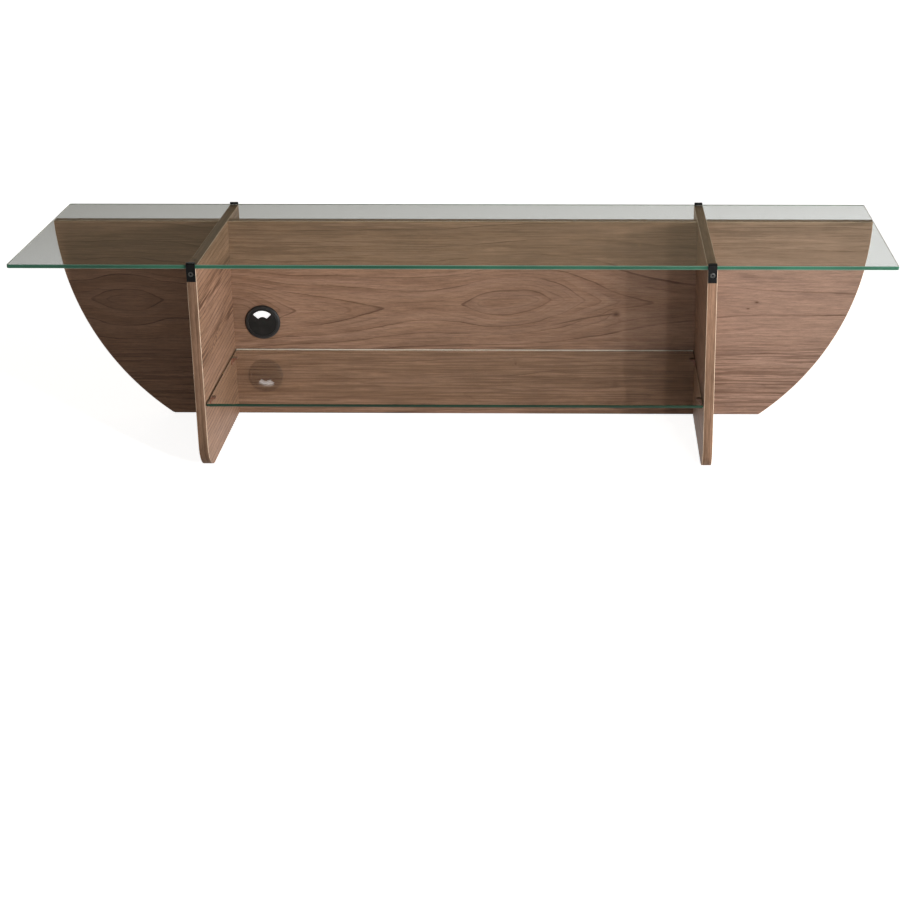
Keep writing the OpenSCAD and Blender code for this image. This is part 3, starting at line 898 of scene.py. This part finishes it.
@finish
def clear_silicone():
    """Soft clear silicone, drawn in the colour of the wood round it."""
    look = bpy.context.scene.console_finish
    silicone = Finish("clear_silicone")
    cloud = silicone.noise(silicone.place(), 300.0, 2.0)
    return silicone.made(
        Base_Color=silicone.mix(cloud, rgba(look.silicone), rgba(look.silicone_pale)),
        Roughness=silicone.even(cloud, 0.2, 0.3), IOR=1.2, Specular_IOR_Level=0.1,
        Transmission_Weight=0.2, Alpha=silicone.lets_through(0.9),
    )


@finish
def studio_floor():
    """Pale floor that shows near white and keeps the console's shadow.

    It shows white to the eye, and through glass cooler and darker towards the left and rear: a painted
    shadow of the console on the floor behind it.
    """
    tone = bpy.context.scene.console_finish.floor
    floor = Finish("studio_floor")
    rays = floor.rays()
    through = rays["Is Transmission Ray"]
    seen = floor.chain("MAXIMUM", rays["Is Camera Ray"], rays["Is Glossy Ray"], through)
    glow = floor.spread(floor.size_of(floor.place()), 1.4, 2.7, 0.88, 1.0)
    x, y, _ = floor.split(floor.place())
    # painted shadow: seen through the glass, the floor darkens towards the left and rear where the
    # console's shadow falls behind it
    lean = floor.sum("MULTIPLY_ADD", y, -1.25, x)
    dim = floor.spread(lean, -4.1, -1.1, 0.27, 0.949, False)
    painted_shadow_share = floor.sum("MULTIPLY_ADD", through, floor.sum("SUBTRACT", dim, 1.0), 1.0)
    cloud = floor.noise(floor.place(), 2.0, 3.0)
    return floor.made(
        Base_Color=floor.mix(cloud, rgba(tone), rgba(times(1.01, tone))), Roughness=0.9,
        Specular_IOR_Level=0.0,
        Emission_Color=floor.mix(through, rgba((1.0, 1.0, 1.0)), rgba((0.877, 0.902, 1.0))),
        Emission_Strength=floor.chain("MULTIPLY", seen, floor.sum("MULTIPLY", glow, painted_shadow_share)),
    )


# ---- operators ----


class CONSOLE_OT_top_glass(bpy.types.Operator):
    """Build the top glass"""

    bl_idname = "console.top_glass"
    bl_label = "Top Glass"

    def execute(self, context):
        corner_radius = context.scene.console_glass.top_corner
        glass_plate("top_glass_plate", "top_glass", "console", corner_radius, "glass")
        return {"FINISHED"}


class CONSOLE_OT_lower_shelf(bpy.types.Operator):
    """Build the lower glass shelf"""

    bl_idname = "console.lower_shelf"
    bl_label = "Lower Glass Shelf"

    def execute(self, context):
        corner_radius = context.scene.console_glass.shelf_corner
        glass_plate("lower_glass_plate", "lower_shelf", "lower_shelf", corner_radius, "shelf_glass")
        return {"FINISHED"}


def glass_plate(name, node, body, corner_radius, tint):
    """A glass plate with ground arrises; its edges and arrises have finishes of their own.

    The lower plate's arrises are as dark as its edges, but for the rear one, which takes the lit finish: a
    painted highlight.
    """
    edge, dull_arris, lit_arris = 1, 2, 3
    low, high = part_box(node)
    arris = bpy.context.scene.console_glass.arris
    shape = prism(filleted(rectangle(low, high, corner_radius)), low.z, high.z, plan, arris, steps=1)
    # the lit arrises carry a painted highlight
    for face in shape.faces:
        if abs(face.normal.z) > 0.9:
            continue
        if tint == "shelf_glass":
            face.material_index = lit_arris if face.normal.y > 0.5 else edge
        elif abs(face.normal.z) < 0.1:
            face.material_index = edge
        else:
            face.material_index = dull_arris if face.normal.y < -0.5 else lit_arris
    finishes = [clear_glass(tint), glass_edge(tint), glass_arris("arris"), glass_arris("arris_lit")]
    make(name, shape, [node], finishes, body)


class CONSOLE_OT_back_panel(bpy.types.Operator):
    """Build the back panel with its slots and its cable hole"""

    bl_idname = "console.back_panel"
    bl_label = "Back Panel"

    def execute(self, context):
        boards = context.scene.console_boards
        low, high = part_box("back_panel")
        right = end_curve(boards, boards.edging, low.z, high.z)
        outline = right + mirrored(right, -1)[::-1]
        for side in ("right", "left"):
            near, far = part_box(side + "_upright")
            outline = notched(outline, near.x - boards.lap_gap, far.x + boards.lap_gap, boards.lap_height)
        middle = grommet_place().translation
        hole = arc((middle.x, middle.z), grommet_radius(context.scene.console_fittings), 0, 2 * pi, 96)
        shape = prism(outline, low.y, high.y, facing, holes=[hole[:-1]])
        make(
            "panel_board", shape, ["back_panel"], [walnut("panel")],
            grain=lambda p: (p.x, p.z, 0),
        )
        return {"FINISHED"}


def end_circle(boards):
    """The centre of the panel's right end curve: its distance from the middle and its height."""
    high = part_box("panel_right_end_edging")[1]
    return high.x - boards.end_radius, high.z + boards.end_rise


def end_curve(boards, inset, low, high):
    """The panel's right end curve between two heights, drawn in by an inset."""
    reach, rise = end_circle(boards)
    radius = boards.end_radius - inset
    start, end = (-asin((rise - height) / radius) for height in (low, high))
    return arc((reach, rise), radius, start, end, 72)


def notched(outline, near, far, depth):
    """The outline with a slot cut down from its flat top, between near and far."""
    top = max(p.y for p in outline)
    slot = [Vector(p) for p in ((far, top), (far, depth), (near, depth), (near, top))]
    points = []
    for point, after in zip(outline, outline[1:] + outline[:1]):
        points.append(point)
        if min(point.y, after.y) > top - TINY and point.x > far and after.x < near:
            points += slot
    return points


def grommet_place():
    """The grommet's place, with -Y forward and its middle at the origin."""
    low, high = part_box("grommet_liner")
    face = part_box("back_panel")[0].y
    return Matrix.Translation(((low.x + high.x) / 2, face, (low.z + high.z) / 2))


def grommet_radius(fittings):
    """Radius of the grommet's liner and of the panel's hole for it."""
    low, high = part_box("grommet_liner")
    return (high.x - low.x) / 2 - fittings.collar_width


class CONSOLE_OT_uprights(bpy.types.Operator):
    """Build the two uprights with their slots and the holes for pegs and inserts"""

    bl_idname = "console.uprights"
    bl_label = "Uprights"

    def execute(self, context):
        boards = context.scene.console_boards
        panel_low, panel_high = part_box("back_panel")
        near, far = panel_low.y - boards.lap_gap, panel_high.y + boards.lap_gap
        radius = boards.foot_radius - boards.edging
        for side in SIDES:
            low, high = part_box(side + "_upright")
            outline = filleted([
                (low.y, low.z + boards.edging, radius), (low.y + radius, low.z, 0), (near, low.z, 0),
                (near, boards.lap_height, 0), (far, boards.lap_height, 0), (far, low.z, 0),
                (high.y - radius, low.z, 0), (high.y, low.z + boards.edging, radius),
                (high.y, high.z, 0), (low.y, high.z, 0),
            ], steps=20)
            shape = prism(outline, low.x, high.x, sideways)
            for hole in upright_holes(side, context.scene.console_fittings):
                shape = combined(shape, hole, "DIFFERENCE")
            make(
                side + "_upright_board", shape, [side + "_upright"],
                [walnut(side + "_upright")], grain=lambda p: (p.y, p.z, 0),
            )
        return {"FINISHED"}


def upright_holes(side, fittings):
    """The drills for an upright's inserts, screws and pegs."""
    holes = []
    for end in ENDS:
        place = screw_place(side, end)
        holes.append(moved(drill(fittings.insert_radius + FIT, fittings.insert_length), place))
        holes.append(moved(drill(fittings.thread_radius + PLAY, fittings.screw_length), place))
        hole = drill(fittings.peg_radius + FIT, peg_depth(side, end))
        holes.append(moved(hole, support_place(side, end) @ peg_turn(fittings)))
    return holes


def screw_place(side, end):
    """Where a clip's screw lies: there -Y points out along it."""
    drop = bpy.context.scene.console_fittings.screw_drop
    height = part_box("front_left_clip")[1].z - drop
    return corner(side, end) @ Matrix.Translation((0, 0, height))


def inner_face(side):
    """Where an upright's inner face lies along X."""
    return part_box(side + "_upright")[0 if side == "right" else 1].x


def peg_depth(side, end):
    """How far a support's peg reaches into its upright."""
    low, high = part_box(f"{end}_{side}_shelf_support")
    return inner_face(side) - low.x if side == "left" else high.x - inner_face(side)


def support_place(side, end):
    """Where a shelf support lies: there +X points out of the upright's inner face."""
    low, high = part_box(f"{end}_{side}_shelf_support")
    turn = Matrix.Rotation(pi if side == "right" else 0, 4, "Z")
    return Matrix.Translation((inner_face(side), (low.y + high.y) / 2, high.z)) @ turn


def peg_turn(fittings):
    """Turns a shape along -Y into one along +X, at the height of a support's peg."""
    low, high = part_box("front_left_shelf_support")
    rise = fittings.peg_rise - (high.z - low.z)
    return Matrix.Translation((0, 0, rise)) @ Matrix.Rotation(pi / 2, 4, "Z")


class CONSOLE_OT_panel_edging(bpy.types.Operator):
    """Build the edging on the panel's curved ends and along its top"""

    bl_idname = "console.panel_edging"
    bl_label = "Panel Edging"

    def execute(self, context):
        for side in SIDES:
            panel_end_band(context.scene.console_boards, side)
        for part in ("left", "middle", "right"):
            top_band(f"panel_{part}_top_edging", 0)
        return {"FINISHED"}


class CONSOLE_OT_upright_edging(bpy.types.Operator):
    """Build the edging on the uprights' front, rear and top edges"""

    bl_idname = "console.upright_edging"
    bl_label = "Upright Edging"

    def execute(self, context):
        for side in SIDES:
            for end in ENDS:
                upright_end_band(context.scene.console_boards, side, end)
            top_band(side + "_upright_top_edging", 1)
        return {"FINISHED"}


def band(node, shape, on_face, grain):
    """Edging with rounded arrises round its outer face, which have a finish of their own: a painted
    highlight.
    """
    lip = [e for e in shape.edges if all(on_face(v.co) for v in e.verts) and e.calc_face_angle(0) > 1]
    for face in rounded(shape, lip, bpy.context.scene.console_boards.arris):
        # the rounded arrises take the painted highlight finish
        face.material_index = 1
    name = node.replace("edging", "band")
    make(name, shape, [node], [walnut("edging"), edging_arris()], grain=grain)


def top_band(node, axis):
    """Edging on top of a board that runs along X (axis 0) or Y (axis 1)."""
    low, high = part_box(node)
    across = 1 - axis
    outline = filleted(rectangle((low[across], low.z), (high[across], high.z)))
    shape = prism(outline, low[axis], high[axis], (sideways, facing)[axis])
    band(node, shape, lambda p: abs(p.z - high.z) < TINY, lambda p: (p[axis], p[across], 0))


def panel_end_band(boards, side):
    """Edging round one curved end of the panel."""
    node = f"panel_{side}_end_edging"
    low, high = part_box(node)
    reach, rise = end_circle(boards)
    outer = end_curve(boards, 0, low.z, high.z)
    inner = end_curve(boards, boards.edging, low.z, high.z)
    shape = prism(mirrored(outer + inner[::-1], SIDES[side]), low.y, high.y, facing)

    def from_centre(p):
        return Vector((SIDES[side] * p.x - reach, p.z - rise))

    def grain(p):
        spoke = from_centre(p)
        return (boards.end_radius * atan2(spoke.y, spoke.x), p.y, 0)

    band(node, shape, lambda p: abs(from_centre(p).length - boards.end_radius) < TINY, grain)


def upright_end_band(boards, side, end):
    """Edging down one end of an upright and round its foot."""
    node = f"{side}_upright_{end}_edging"
    low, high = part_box(node)
    sign, radius = ENDS[end], boards.foot_radius
    face = high.y if end == "rear" else -low.y
    middle = Vector((face - radius, low.z + radius))
    outer = arc(middle, radius, -pi / 2, 0, 20)
    inner = arc(middle, radius - boards.edging, -pi / 2, 0, 20)
    top = [Vector((face, high.z)), Vector((face - boards.edging, high.z))]
    shape = prism(mirrored(outer + top + inner[::-1], sign), low.x, high.x, sideways)
    hole = drill(bpy.context.scene.console_fittings.insert_radius + FIT, 2 * MM)
    shape = combined(shape, moved(hole, screw_place(side, end)), "DIFFERENCE")

    def on_face(p):
        depth = Vector((sign * p.y - middle.x, min(0.0, p.z - middle.y))).length - radius
        return abs(depth) < TINY and min(abs(p.x - low.x), abs(p.x - high.x)) < TINY

    def grain(p):
        turn = atan2(max(0.0, middle.y - p.z), max(TINY, sign * p.y - middle.x))
        return (max(p.z, middle.y) - radius * turn, p.x, 0)

    band(node, shape, on_face, grain)


class CONSOLE_OT_floor_strips(bpy.types.Operator):
    """Build the floor strips under the boards"""

    bl_idname = "console.floor_strips"
    bl_label = "Floor Strips"

    def execute(self, context):
        low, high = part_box("panel_floor_strip")
        slope = high.z - low.z
        foot = (low.x + slope, high.x - slope)
        runner("panel_floor_runner", "panel_floor_strip", foot, (low.x, high.x), 0)
        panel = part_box("back_panel")
        for side, end in CORNERS:
            node = side + "_upright_floor_strips"
            rear, sign = end == "rear", ENDS[end]
            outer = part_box(node)[rear].y
            inner = panel[rear].y + sign * context.scene.console_boards.strip_gap
            runner(f"{side}_upright_{end}_runner", node, (inner, outer - sign * slope), (inner, outer), 1)
        return {"FINISHED"}


def runner(name, node, foot, top, axis):
    """A floor strip along X (axis 0) or Y (axis 1), with what it spans at its foot and its top."""
    low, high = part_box(node)
    outline = [Vector((x, low.z)) for x in foot] + [Vector((x, high.z)) for x in reversed(top)]
    across = 1 - axis
    shape = prism(outline, low[across], high[across], (facing, sideways)[axis], 0.4 * MM)
    make(name, shape, [node], [moulded("strip_plastic", "strip", 0.5, 0.4)])


class CONSOLE_OT_glass_clips(bpy.types.Operator):
    """Build the four clips that hold the top glass"""

    bl_idname = "console.glass_clips"
    bl_label = "Glass Clips"

    def execute(self, context):
        coat = moulded("black_coat", "black", 0.42, 0.06)
        for side, end in CORNERS:
            node = f"{end}_{side}_clip"
            shape = clip_shape(context.scene.console_fittings, *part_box(node))
            make(node + "_plate", moved(shape, corner(side, end)), [node], [coat])
        return {"FINISHED"}


def clip_shape(fittings, low, high):
    """A clip drawn at a corner: bent plate with rounded lip and a counterbored hole."""
    plate = fittings.plate
    reach = high.y - low.y - plate
    half = (high.x - low.x) / 2
    under = high.z - fittings.lip
    outline = filleted([
        (-plate, low.z, 0), (0, low.z, 0), (0, under, 0), (reach, under, 0), (reach, high.z, 0),
        (-plate, high.z, fittings.bend),
    ])
    shape = prism(outline, -half, half, sideways)
    free = [
        e for e in shape.edges
        if all(abs(v.co.y - reach) < TINY and abs(abs(v.co.x) - half) < TINY for v in e.verts)
        and abs(e.verts[0].co.z - e.verts[1].co.z) > TINY
    ]
    rounded(shape, free, fittings.lip_corner, 8)
    bore = fittings.thread_radius + PLAY
    recess = fittings.head_radius + PLAY
    floor = plate - fittings.head_height
    hole = turned([
        (0, -MM), (bore, -MM), (bore, floor), (recess, floor), (recess, plate + MM), (0, plate + MM),
    ], outward, 48)
    moved(hole, Matrix.Translation((0, 0, high.z - fittings.screw_drop)))
    return softened(combined(shape, hole, "DIFFERENCE"), 0.35 * MM, 2)


class CONSOLE_OT_clip_liners(bpy.types.Operator):
    """Build the liners between the clips and the top glass"""

    bl_idname = "console.clip_liners"
    bl_label = "Clip Liners"

    def execute(self, context):
        fittings = context.scene.console_fittings
        rubber = moulded("black_rubber", "rubber", 0.7, 0.3)
        low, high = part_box("clip_liners")
        clip_low, clip_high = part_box("front_left_clip")
        half = (clip_high.x - clip_low.x) / 2 - 0.5 * MM
        thick = fittings.liner
        reach = clip_high.y - clip_low.y - fittings.plate - thick
        corners = [
            (0, low.z, 0), (thick, low.z, 0), (thick, high.z - thick, 0), (reach, high.z - thick, 0),
            (reach, high.z, 0), (0, high.z, 0),
        ]
        for side, end in CORNERS:
            shape = moved(prism(filleted(corners), -half, half, sideways, 0.2 * MM, 2), corner(side, end))
            make(f"{end}_{side}_clip_pad", shape, ["clip_liners"], [rubber])
        return {"FINISHED"}


class CONSOLE_OT_clip_screws(bpy.types.Operator):
    """Build the clip screws and their threaded inserts"""

    bl_idname = "console.clip_screws"
    bl_label = "Clip Screws and Inserts"

    def execute(self, context):
        fittings = context.scene.console_fittings
        steel = metal("screw_steel", "steel", 0.34, 2600.0)
        # the socket's finish is painted shade in the recess
        socket = moulded("socket_black", "socket", 0.5, 0.05)
        brass = metal("insert_brass", "brass", 0.36, 900.0)
        for side, end in CORNERS:
            name, place = f"{end}_{side}_clip_", screw_place(side, end)
            screw = moved(screw_shape(fittings), place)
            make(name + "screw", screw, ["clip_screws"], [steel, socket])
            insert = moved(insert_shape(fittings), place)
            make(name + "insert", insert, ["clip_inserts"], [brass])
        return {"FINISHED"}


def screw_shape(fittings):
    """A screw with a hexagon socket, a softened head and a rolled thread."""
    top = fittings.plate
    floor = top - fittings.socket_depth
    under = top - fittings.head_height
    tip = under - fittings.screw_length
    start = under - 2 * MM
    flat = fittings.socket_width / 2
    head = fittings.head_radius
    thread = fittings.thread_radius
    pitch = fittings.thread_pitch
    section = [
        (0, floor - EASE), (0.98 * flat, floor, 6), (flat, top - EASE, 6), (flat + 0.35 * MM, top),
        (head - 0.5 * MM, top), (head - 0.15 * MM, top - 0.15 * MM), (head, top - 0.5 * MM),
        (head, under + 0.1 * MM), (head - 0.1 * MM, under), (thread - EASE, under),
        (thread - EASE, start + 0.5 * MM),
    ]
    rows_in_pitch = 6
    for row in range(int((start - tip - 0.5 * MM) / pitch * rows_in_pitch) + 1):
        height = start - row * pitch / rows_in_pitch

        def threaded(share, height=height):
            phase = (height / pitch + share) % 1.0
            return thread - 0.5 * MM * abs(2 * phase - 1)

        section.append((threaded, height))
    shape = turned([*section, (thread - 0.8 * MM, tip), (0, tip)], outward, 48)
    # the faces inside the socket take the painted shade
    for face in shape.faces:
        middle = face.calc_center_median()
        if -middle.y > floor - MM and hypot(middle.x, middle.z) < 1.1 * flat:
            face.material_index = 1
    return shape


def insert_shape(fittings):
    """A knurled, threaded insert, open at both ends."""
    bore = fittings.thread_radius + FIT
    outer = fittings.insert_radius
    groove = outer - 0.4 * MM
    grooves = 5
    step = fittings.insert_length / grooves
    section = [(bore, 0), (outer - 0.2 * MM, 0)]
    for k in range(grooves):
        end = -step * (k + 0.7)
        section += [(outer, -step * (k + 0.1) - 0.2 * MM), (outer, end), (groove, end - EASE)]
        section += [(groove, -step * (k + 1))]
    return turned([*section, (bore, -fittings.insert_length)], outward, 48)


class CONSOLE_OT_glass_pads(bpy.types.Operator):
    """Build the clear pads between the boards and the top glass"""

    bl_idname = "console.glass_pads"
    bl_label = "Glass Pads"

    def execute(self, context):
        low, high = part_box("upright_glass_pads")
        panel_low, panel_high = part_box("panel_glass_pads")
        panel_middle = (panel_low.y + panel_high.y) / 2
        radius = panel_high.y - panel_middle
        reaches = {"outer": panel_high.x - radius, "inner": context.scene.console_fittings.pad_reach}
        for side, sign in SIDES.items():
            board_low, board_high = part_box(side + "_upright")
            for end in ENDS:
                y = low.y + radius if end == "front" else high.y - radius
                place = Matrix.Translation(((board_low.x + board_high.x) / 2, y, low.z))
                clear_pad(f"{end}_{side}_glass_pad", "upright_glass_pads", radius, place)
            for part, reach in reaches.items():
                place = Matrix.Translation((sign * reach, panel_middle, panel_low.z))
                clear_pad(f"panel_{part}_{side}_glass_pad", "panel_glass_pads", radius, place)
        return {"FINISHED"}


def clear_pad(name, node, radius, place):
    """A clear round pad, as thick as its node is high."""
    low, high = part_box(node)
    shape = moved(pad_disc(radius, high.z - low.z), place)
    make(name, shape, [node], [clear_silicone()])


class CONSOLE_OT_shelf_supports(bpy.types.Operator):
    """Build the four shelf supports and their clear pads"""

    bl_idname = "console.shelf_supports"
    bl_label = "Shelf Supports"

    def execute(self, context):
        fittings = context.scene.console_fittings
        rear_low, rear_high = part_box("rear_left_shelf_support")
        pad_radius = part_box("shelf_support_pads")[1].y - (rear_low.y + rear_high.y) / 2
        for side, end in CORNERS:
            node = f"{end}_{side}_shelf_support"
            low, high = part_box(node)
            place = support_place(side, end)
            depth = peg_depth(side, end)
            out = high.x - low.x - depth
            shape = moved(support_shape(fittings, low, high, out, depth), place)
            make(node + "_bracket", shape, [node], [brown_plastic()])
            place = place @ Matrix.Translation(((fittings.seat + out) / 2, 0, 0))
            clear_pad(node + "_pad", "shelf_support_pads", pad_radius, place)
        return {"FINISHED"}


def support_shape(fittings, low, high, out, depth):
    """A bracket with a seat, a back, a rib and a peg, drawn against a face that looks along +X."""
    half = (high.y - low.y) / 2
    tall = high.z - low.z
    seat = fittings.seat
    ell = filleted([
        (0, -tall, 0), (seat, -tall, 0), (seat, -seat, 0.8 * MM), (out, -seat, 0), (out, 0, 0), (0, 0, 0),
    ], 4)
    rib = [Vector(p) for p in (
        (0.5 * seat, -0.5 * seat), (out - seat, -0.5 * seat), (out - seat, -seat), (seat, -tall + seat),
        (0.5 * seat, -tall + seat),
    )]
    body = combined(prism(ell, -half, half, facing), prism(rib, -seat / 2, seat / 2, facing), "UNION")
    body = softened(body, 0.5 * MM)
    r = fittings.peg_radius
    peg = turned([
        (0, -depth), (r - 0.5 * MM, -depth), (r, -depth + 0.6 * MM), (r, 0.5 * seat), (0, 0.5 * seat),
    ], outward, 32)
    return combined(body, moved(peg, peg_turn(fittings)), "UNION")


class CONSOLE_OT_grommet_liner(bpy.types.Operator):
    """Build the cable grommet's liner with its domed collar"""

    bl_idname = "console.grommet_liner"
    bl_label = "Grommet Liner"

    def execute(self, context):
        fittings = context.scene.console_fittings
        low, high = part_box("grommet_liner")
        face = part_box("back_panel")[0].y
        rise, foot = face - low.y, face - high.y
        tube = grommet_radius(fittings)
        bore = tube - fittings.grommet_wall
        ledge = fittings.collar_ledge
        groove = bore + fittings.groove_depth
        start, end, slope = -fittings.groove_start, -fittings.groove_end, 0.1 * MM
        dome = arc((tube + fittings.collar_width - rise, 0), rise, 0, pi / 2, 12)
        section = [
            (bore, foot + EASE), (bore + EASE, foot), (tube - EASE, foot), (tube, foot + EASE), (tube, 0),
            *dome, (tube + EASE, rise), (tube, rise - EASE), (tube, ledge), (bore + 0.2 * MM, ledge),
            (bore, ledge - 0.2 * MM), (bore, start), (groove, start - slope), (groove, end + slope),
            (bore, end),
        ]
        plastic = moulded("black_plastic", "plastic", 0.40, 0.4)
        shape = moved(turned(section, outward, 128), grommet_place())
        make("grommet_ring", shape, ["grommet_liner"], [plastic])
        return {"FINISHED"}


class CONSOLE_OT_grommet_cap(bpy.types.Operator):
    """Build the grommet's turning cap with its cable slot"""

    bl_idname = "console.grommet_cap"
    bl_label = "Grommet Cap"

    def execute(self, context):
        fittings = context.scene.console_fittings
        low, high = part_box("grommet_cap")
        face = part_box("back_panel")[0].y
        top, foot = face - low.y, face - high.y
        under = top - fittings.cap_thickness
        skirt = grommet_radius(fittings) - fittings.grommet_wall - fittings.cap_gap
        inner = skirt - fittings.cap_skirt
        start = fittings.slot_middle - fittings.slot_span / 2
        end = fittings.slot_middle + fittings.slot_span / 2
        slot = arc((0, 0), inner - fittings.slot_rim, start, end, 24)
        slot += arc((0, 0), fittings.slot_radius, end, start, 24)
        rim = arc((0, 0), (high.x - low.x) / 2, 0, 2 * pi, 128)[:-1]
        shape = prism(rim, under, top, outward, 0.35 * MM, holes=[slot])
        bead, above = fittings.bead, under + 0.5 * MM
        crest = foot + bead + 0.5 * MM
        section = [
            (inner, foot + 0.2 * MM), (inner + 0.2 * MM, foot), (skirt, foot), (skirt + bead, foot + bead),
            (skirt + bead, crest), (skirt, crest + bead), (skirt, above), (inner, above),
        ]
        shape = moved(combined(shape, turned(section, outward, 128), "UNION"), grommet_place())
        plastic = moulded("cap_plastic", "plastic", 0.5, 0.2)
        make("grommet_lid", shape, ["grommet_cap"], [plastic], "grommet_cap")
        return {"FINISHED"}


class CONSOLE_OT_stage(bpy.types.Operator):
    """Build the pale floor, the lamps and the camera"""

    bl_idname = "console.stage"
    bl_label = "Stage"

    def execute(self, context):
        studio = context.scene.console_studio
        build_floor()
        build_world(studio)
        build_row(studio)
        lamp("side_lamp", (4.5, -2.0, 0.8), 3.5, 1.2, studio.side_power, studio.side_colour)
        front = lamp("front_lamp", (0.3, -4.2, 1.4), 2.0, 1.5, studio.front_power)
        front.visible_glossy = False
        lamp("back_lamp", (-0.8, 4.2, 0.7), 2.5, 0.8, studio.back_power)
        build_camera(studio)
        context.scene.view_settings.view_transform = "Standard"
        return {"FINISHED"}


def build_row(studio):
    """A row of small lamps that leads away from the left upright's front edge.

    Seen from the left end they lie behind one another, so their shadows there share one
    crisp edge, while on the right they spread into a soft one.
    """
    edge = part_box("left_upright")[0]
    row = ((1.35, 0.45, 0.115), (1.6, 0.50, 0.07), (2.0, 0.58, 0.27), (2.6, 0.68, 0.325), (3.3, 0.80, 0.22))
    for away, height, share in row:
        place = (edge.x + 0.96 * away, edge.y - away, height)
        lamp(f"row_lamp_{away}", place, 0.06, 0.06, share * studio.row_power)


def build_floor():
    """A wide pale floor just under the console."""
    shape = bmesh.new()
    bmesh.ops.create_grid(shape, x_segments=8, y_segments=8, size=30)
    moved(shape, Matrix.Translation((0, 0, FRAME_BOUNDS[0].z - 0.1 * MM)))
    mesh = bpy.data.meshes.new("studio_floor")
    shape.to_mesh(mesh)
    shape.free()
    mesh.materials.append(studio_floor())
    floor = bpy.data.objects.new("studio_floor", mesh)
    bpy.context.scene.collection.objects.link(floor)


def build_world(studio):
    """The studio's dim walls, the rear one warmer, which the camera sees white.

    Gloss and glass see them white along the horizon and in a patch high on the rear wall.
    """
    world = bpy.data.worlds.new("studio")
    world.use_nodes = True
    room = Nodes(world.node_tree, world.node_tree.nodes["Background"])
    rays = room.rays()
    along, back, up = room.split(room.add("TexCoord").outputs["Generated"])
    shiny = room.sum("MAXIMUM", rays["Is Glossy Ray"], rays["Is Transmission Ray"])
    patch = room.chain(
        "MULTIPLY", room.spread(up, 0.30, 0.32), room.spread(up, 0.36, 0.38, 1.0, 0.0),
        room.spread(back, 0.80, 0.90),
    )
    pale = room.sum("MAXIMUM", room.spread(up, 0.02, 0.12, 1.0, 0.0), patch)
    seen = room.sum("MAXIMUM", room.sum("MULTIPLY", shiny, pale), rays["Is Camera Ray"])
    light = room.spread(along, -0.35, 0.25, 0.7, 1.3)
    wall = room.add("VectorMath", {0: studio.wall, "Scale": light}, operation="SCALE").outputs[0]
    walls = room.mix(room.spread(back, 0.1, 0.7), rgba(studio.room), wall)
    room.feed(room.surface, {"Color": room.mix(seen, walls, rgba((1.0, 1.0, 1.0)))})
    bpy.context.scene.world = world


def lamp(name, place, width, height, watts, tint=(1.0, 1.0, 1.0)):
    """A soft rectangular lamp that looks at the console."""
    data = bpy.data.lights.new(name, "AREA")
    data.shape = "RECTANGLE"
    data.size = width
    data.size_y = height
    data.energy = watts
    data.color = tint
    light = bpy.data.objects.new(name, data)
    light.location = place
    aim = Vector((-0.2, 0.1, 0.25))
    light.rotation_euler = (aim - Vector(place)).to_track_quat("-Z", "Y").to_euler()
    light.visible_camera = False
    bpy.context.scene.collection.objects.link(light)
    return light


def build_camera(studio):
    """The camera, in front, a little to the right and above."""
    data = bpy.data.cameras.new("camera")
    data.sensor_width = 36.0
    data.lens = studio.lens
    data.shift_x, data.shift_y = studio.shift
    camera = bpy.data.objects.new("camera", data)
    camera.location = studio.camera_place
    pitch, roll, yaw = studio.camera_turn
    turn = Matrix.Rotation(yaw, 4, "Z") @ Matrix.Rotation(pitch, 4, "X") @ Matrix.Rotation(roll, 4, "Z")
    camera.rotation_euler = turn.to_euler()
    bpy.context.scene.collection.objects.link(camera)
    bpy.context.scene.camera = camera


OPERATORS = (
    CONSOLE_OT_top_glass,
    CONSOLE_OT_lower_shelf,
    CONSOLE_OT_back_panel,
    CONSOLE_OT_uprights,
    CONSOLE_OT_panel_edging,
    CONSOLE_OT_upright_edging,
    CONSOLE_OT_floor_strips,
    CONSOLE_OT_glass_clips,
    CONSOLE_OT_clip_liners,
    CONSOLE_OT_clip_screws,
    CONSOLE_OT_glass_pads,
    CONSOLE_OT_shelf_supports,
    CONSOLE_OT_grommet_liner,
    CONSOLE_OT_grommet_cap,
    CONSOLE_OT_stage,
)


class CONSOLE_PT_pieces(bpy.types.Panel):
    """The console's pieces, in the order they are built"""

    bl_idname = "CONSOLE_PT_pieces"
    bl_label = "Glass-Topped Console"
    bl_space_type = "VIEW_3D"
    bl_region_type = "UI"
    bl_category = "Console"

    def draw(self, context):
        for operator in OPERATORS:
            self.layout.operator(operator.bl_idname)
        for group in GROUPS:
            box = self.layout.box()
            settings = getattr(context.scene, group)
            for name in settings.__annotations__:
                box.prop(settings, name)


def register():
    """Registers the settings, the operators and the panel."""
    for name, group in GROUPS.items():
        bpy.utils.register_class(group)
        setattr(bpy.types.Scene, name, PointerProperty(type=group))
    for operator in OPERATORS:
        bpy.utils.register_class(operator)
    bpy.utils.register_class(CONSOLE_PT_pieces)


def unregister():
    """Takes them away again."""
    bpy.utils.unregister_class(CONSOLE_PT_pieces)
    for operator in reversed(OPERATORS):
        bpy.utils.unregister_class(operator)
    for name, group in reversed(GROUPS.items()):
        delattr(bpy.types.Scene, name)
        bpy.utils.unregister_class(group)


def main():
    """Builds every piece and the stage."""
    register()
    for operator in OPERATORS:
        group, name = operator.bl_idname.split(".")
        getattr(getattr(bpy.ops, group), name)()


if __name__ == "__main__":
    main()
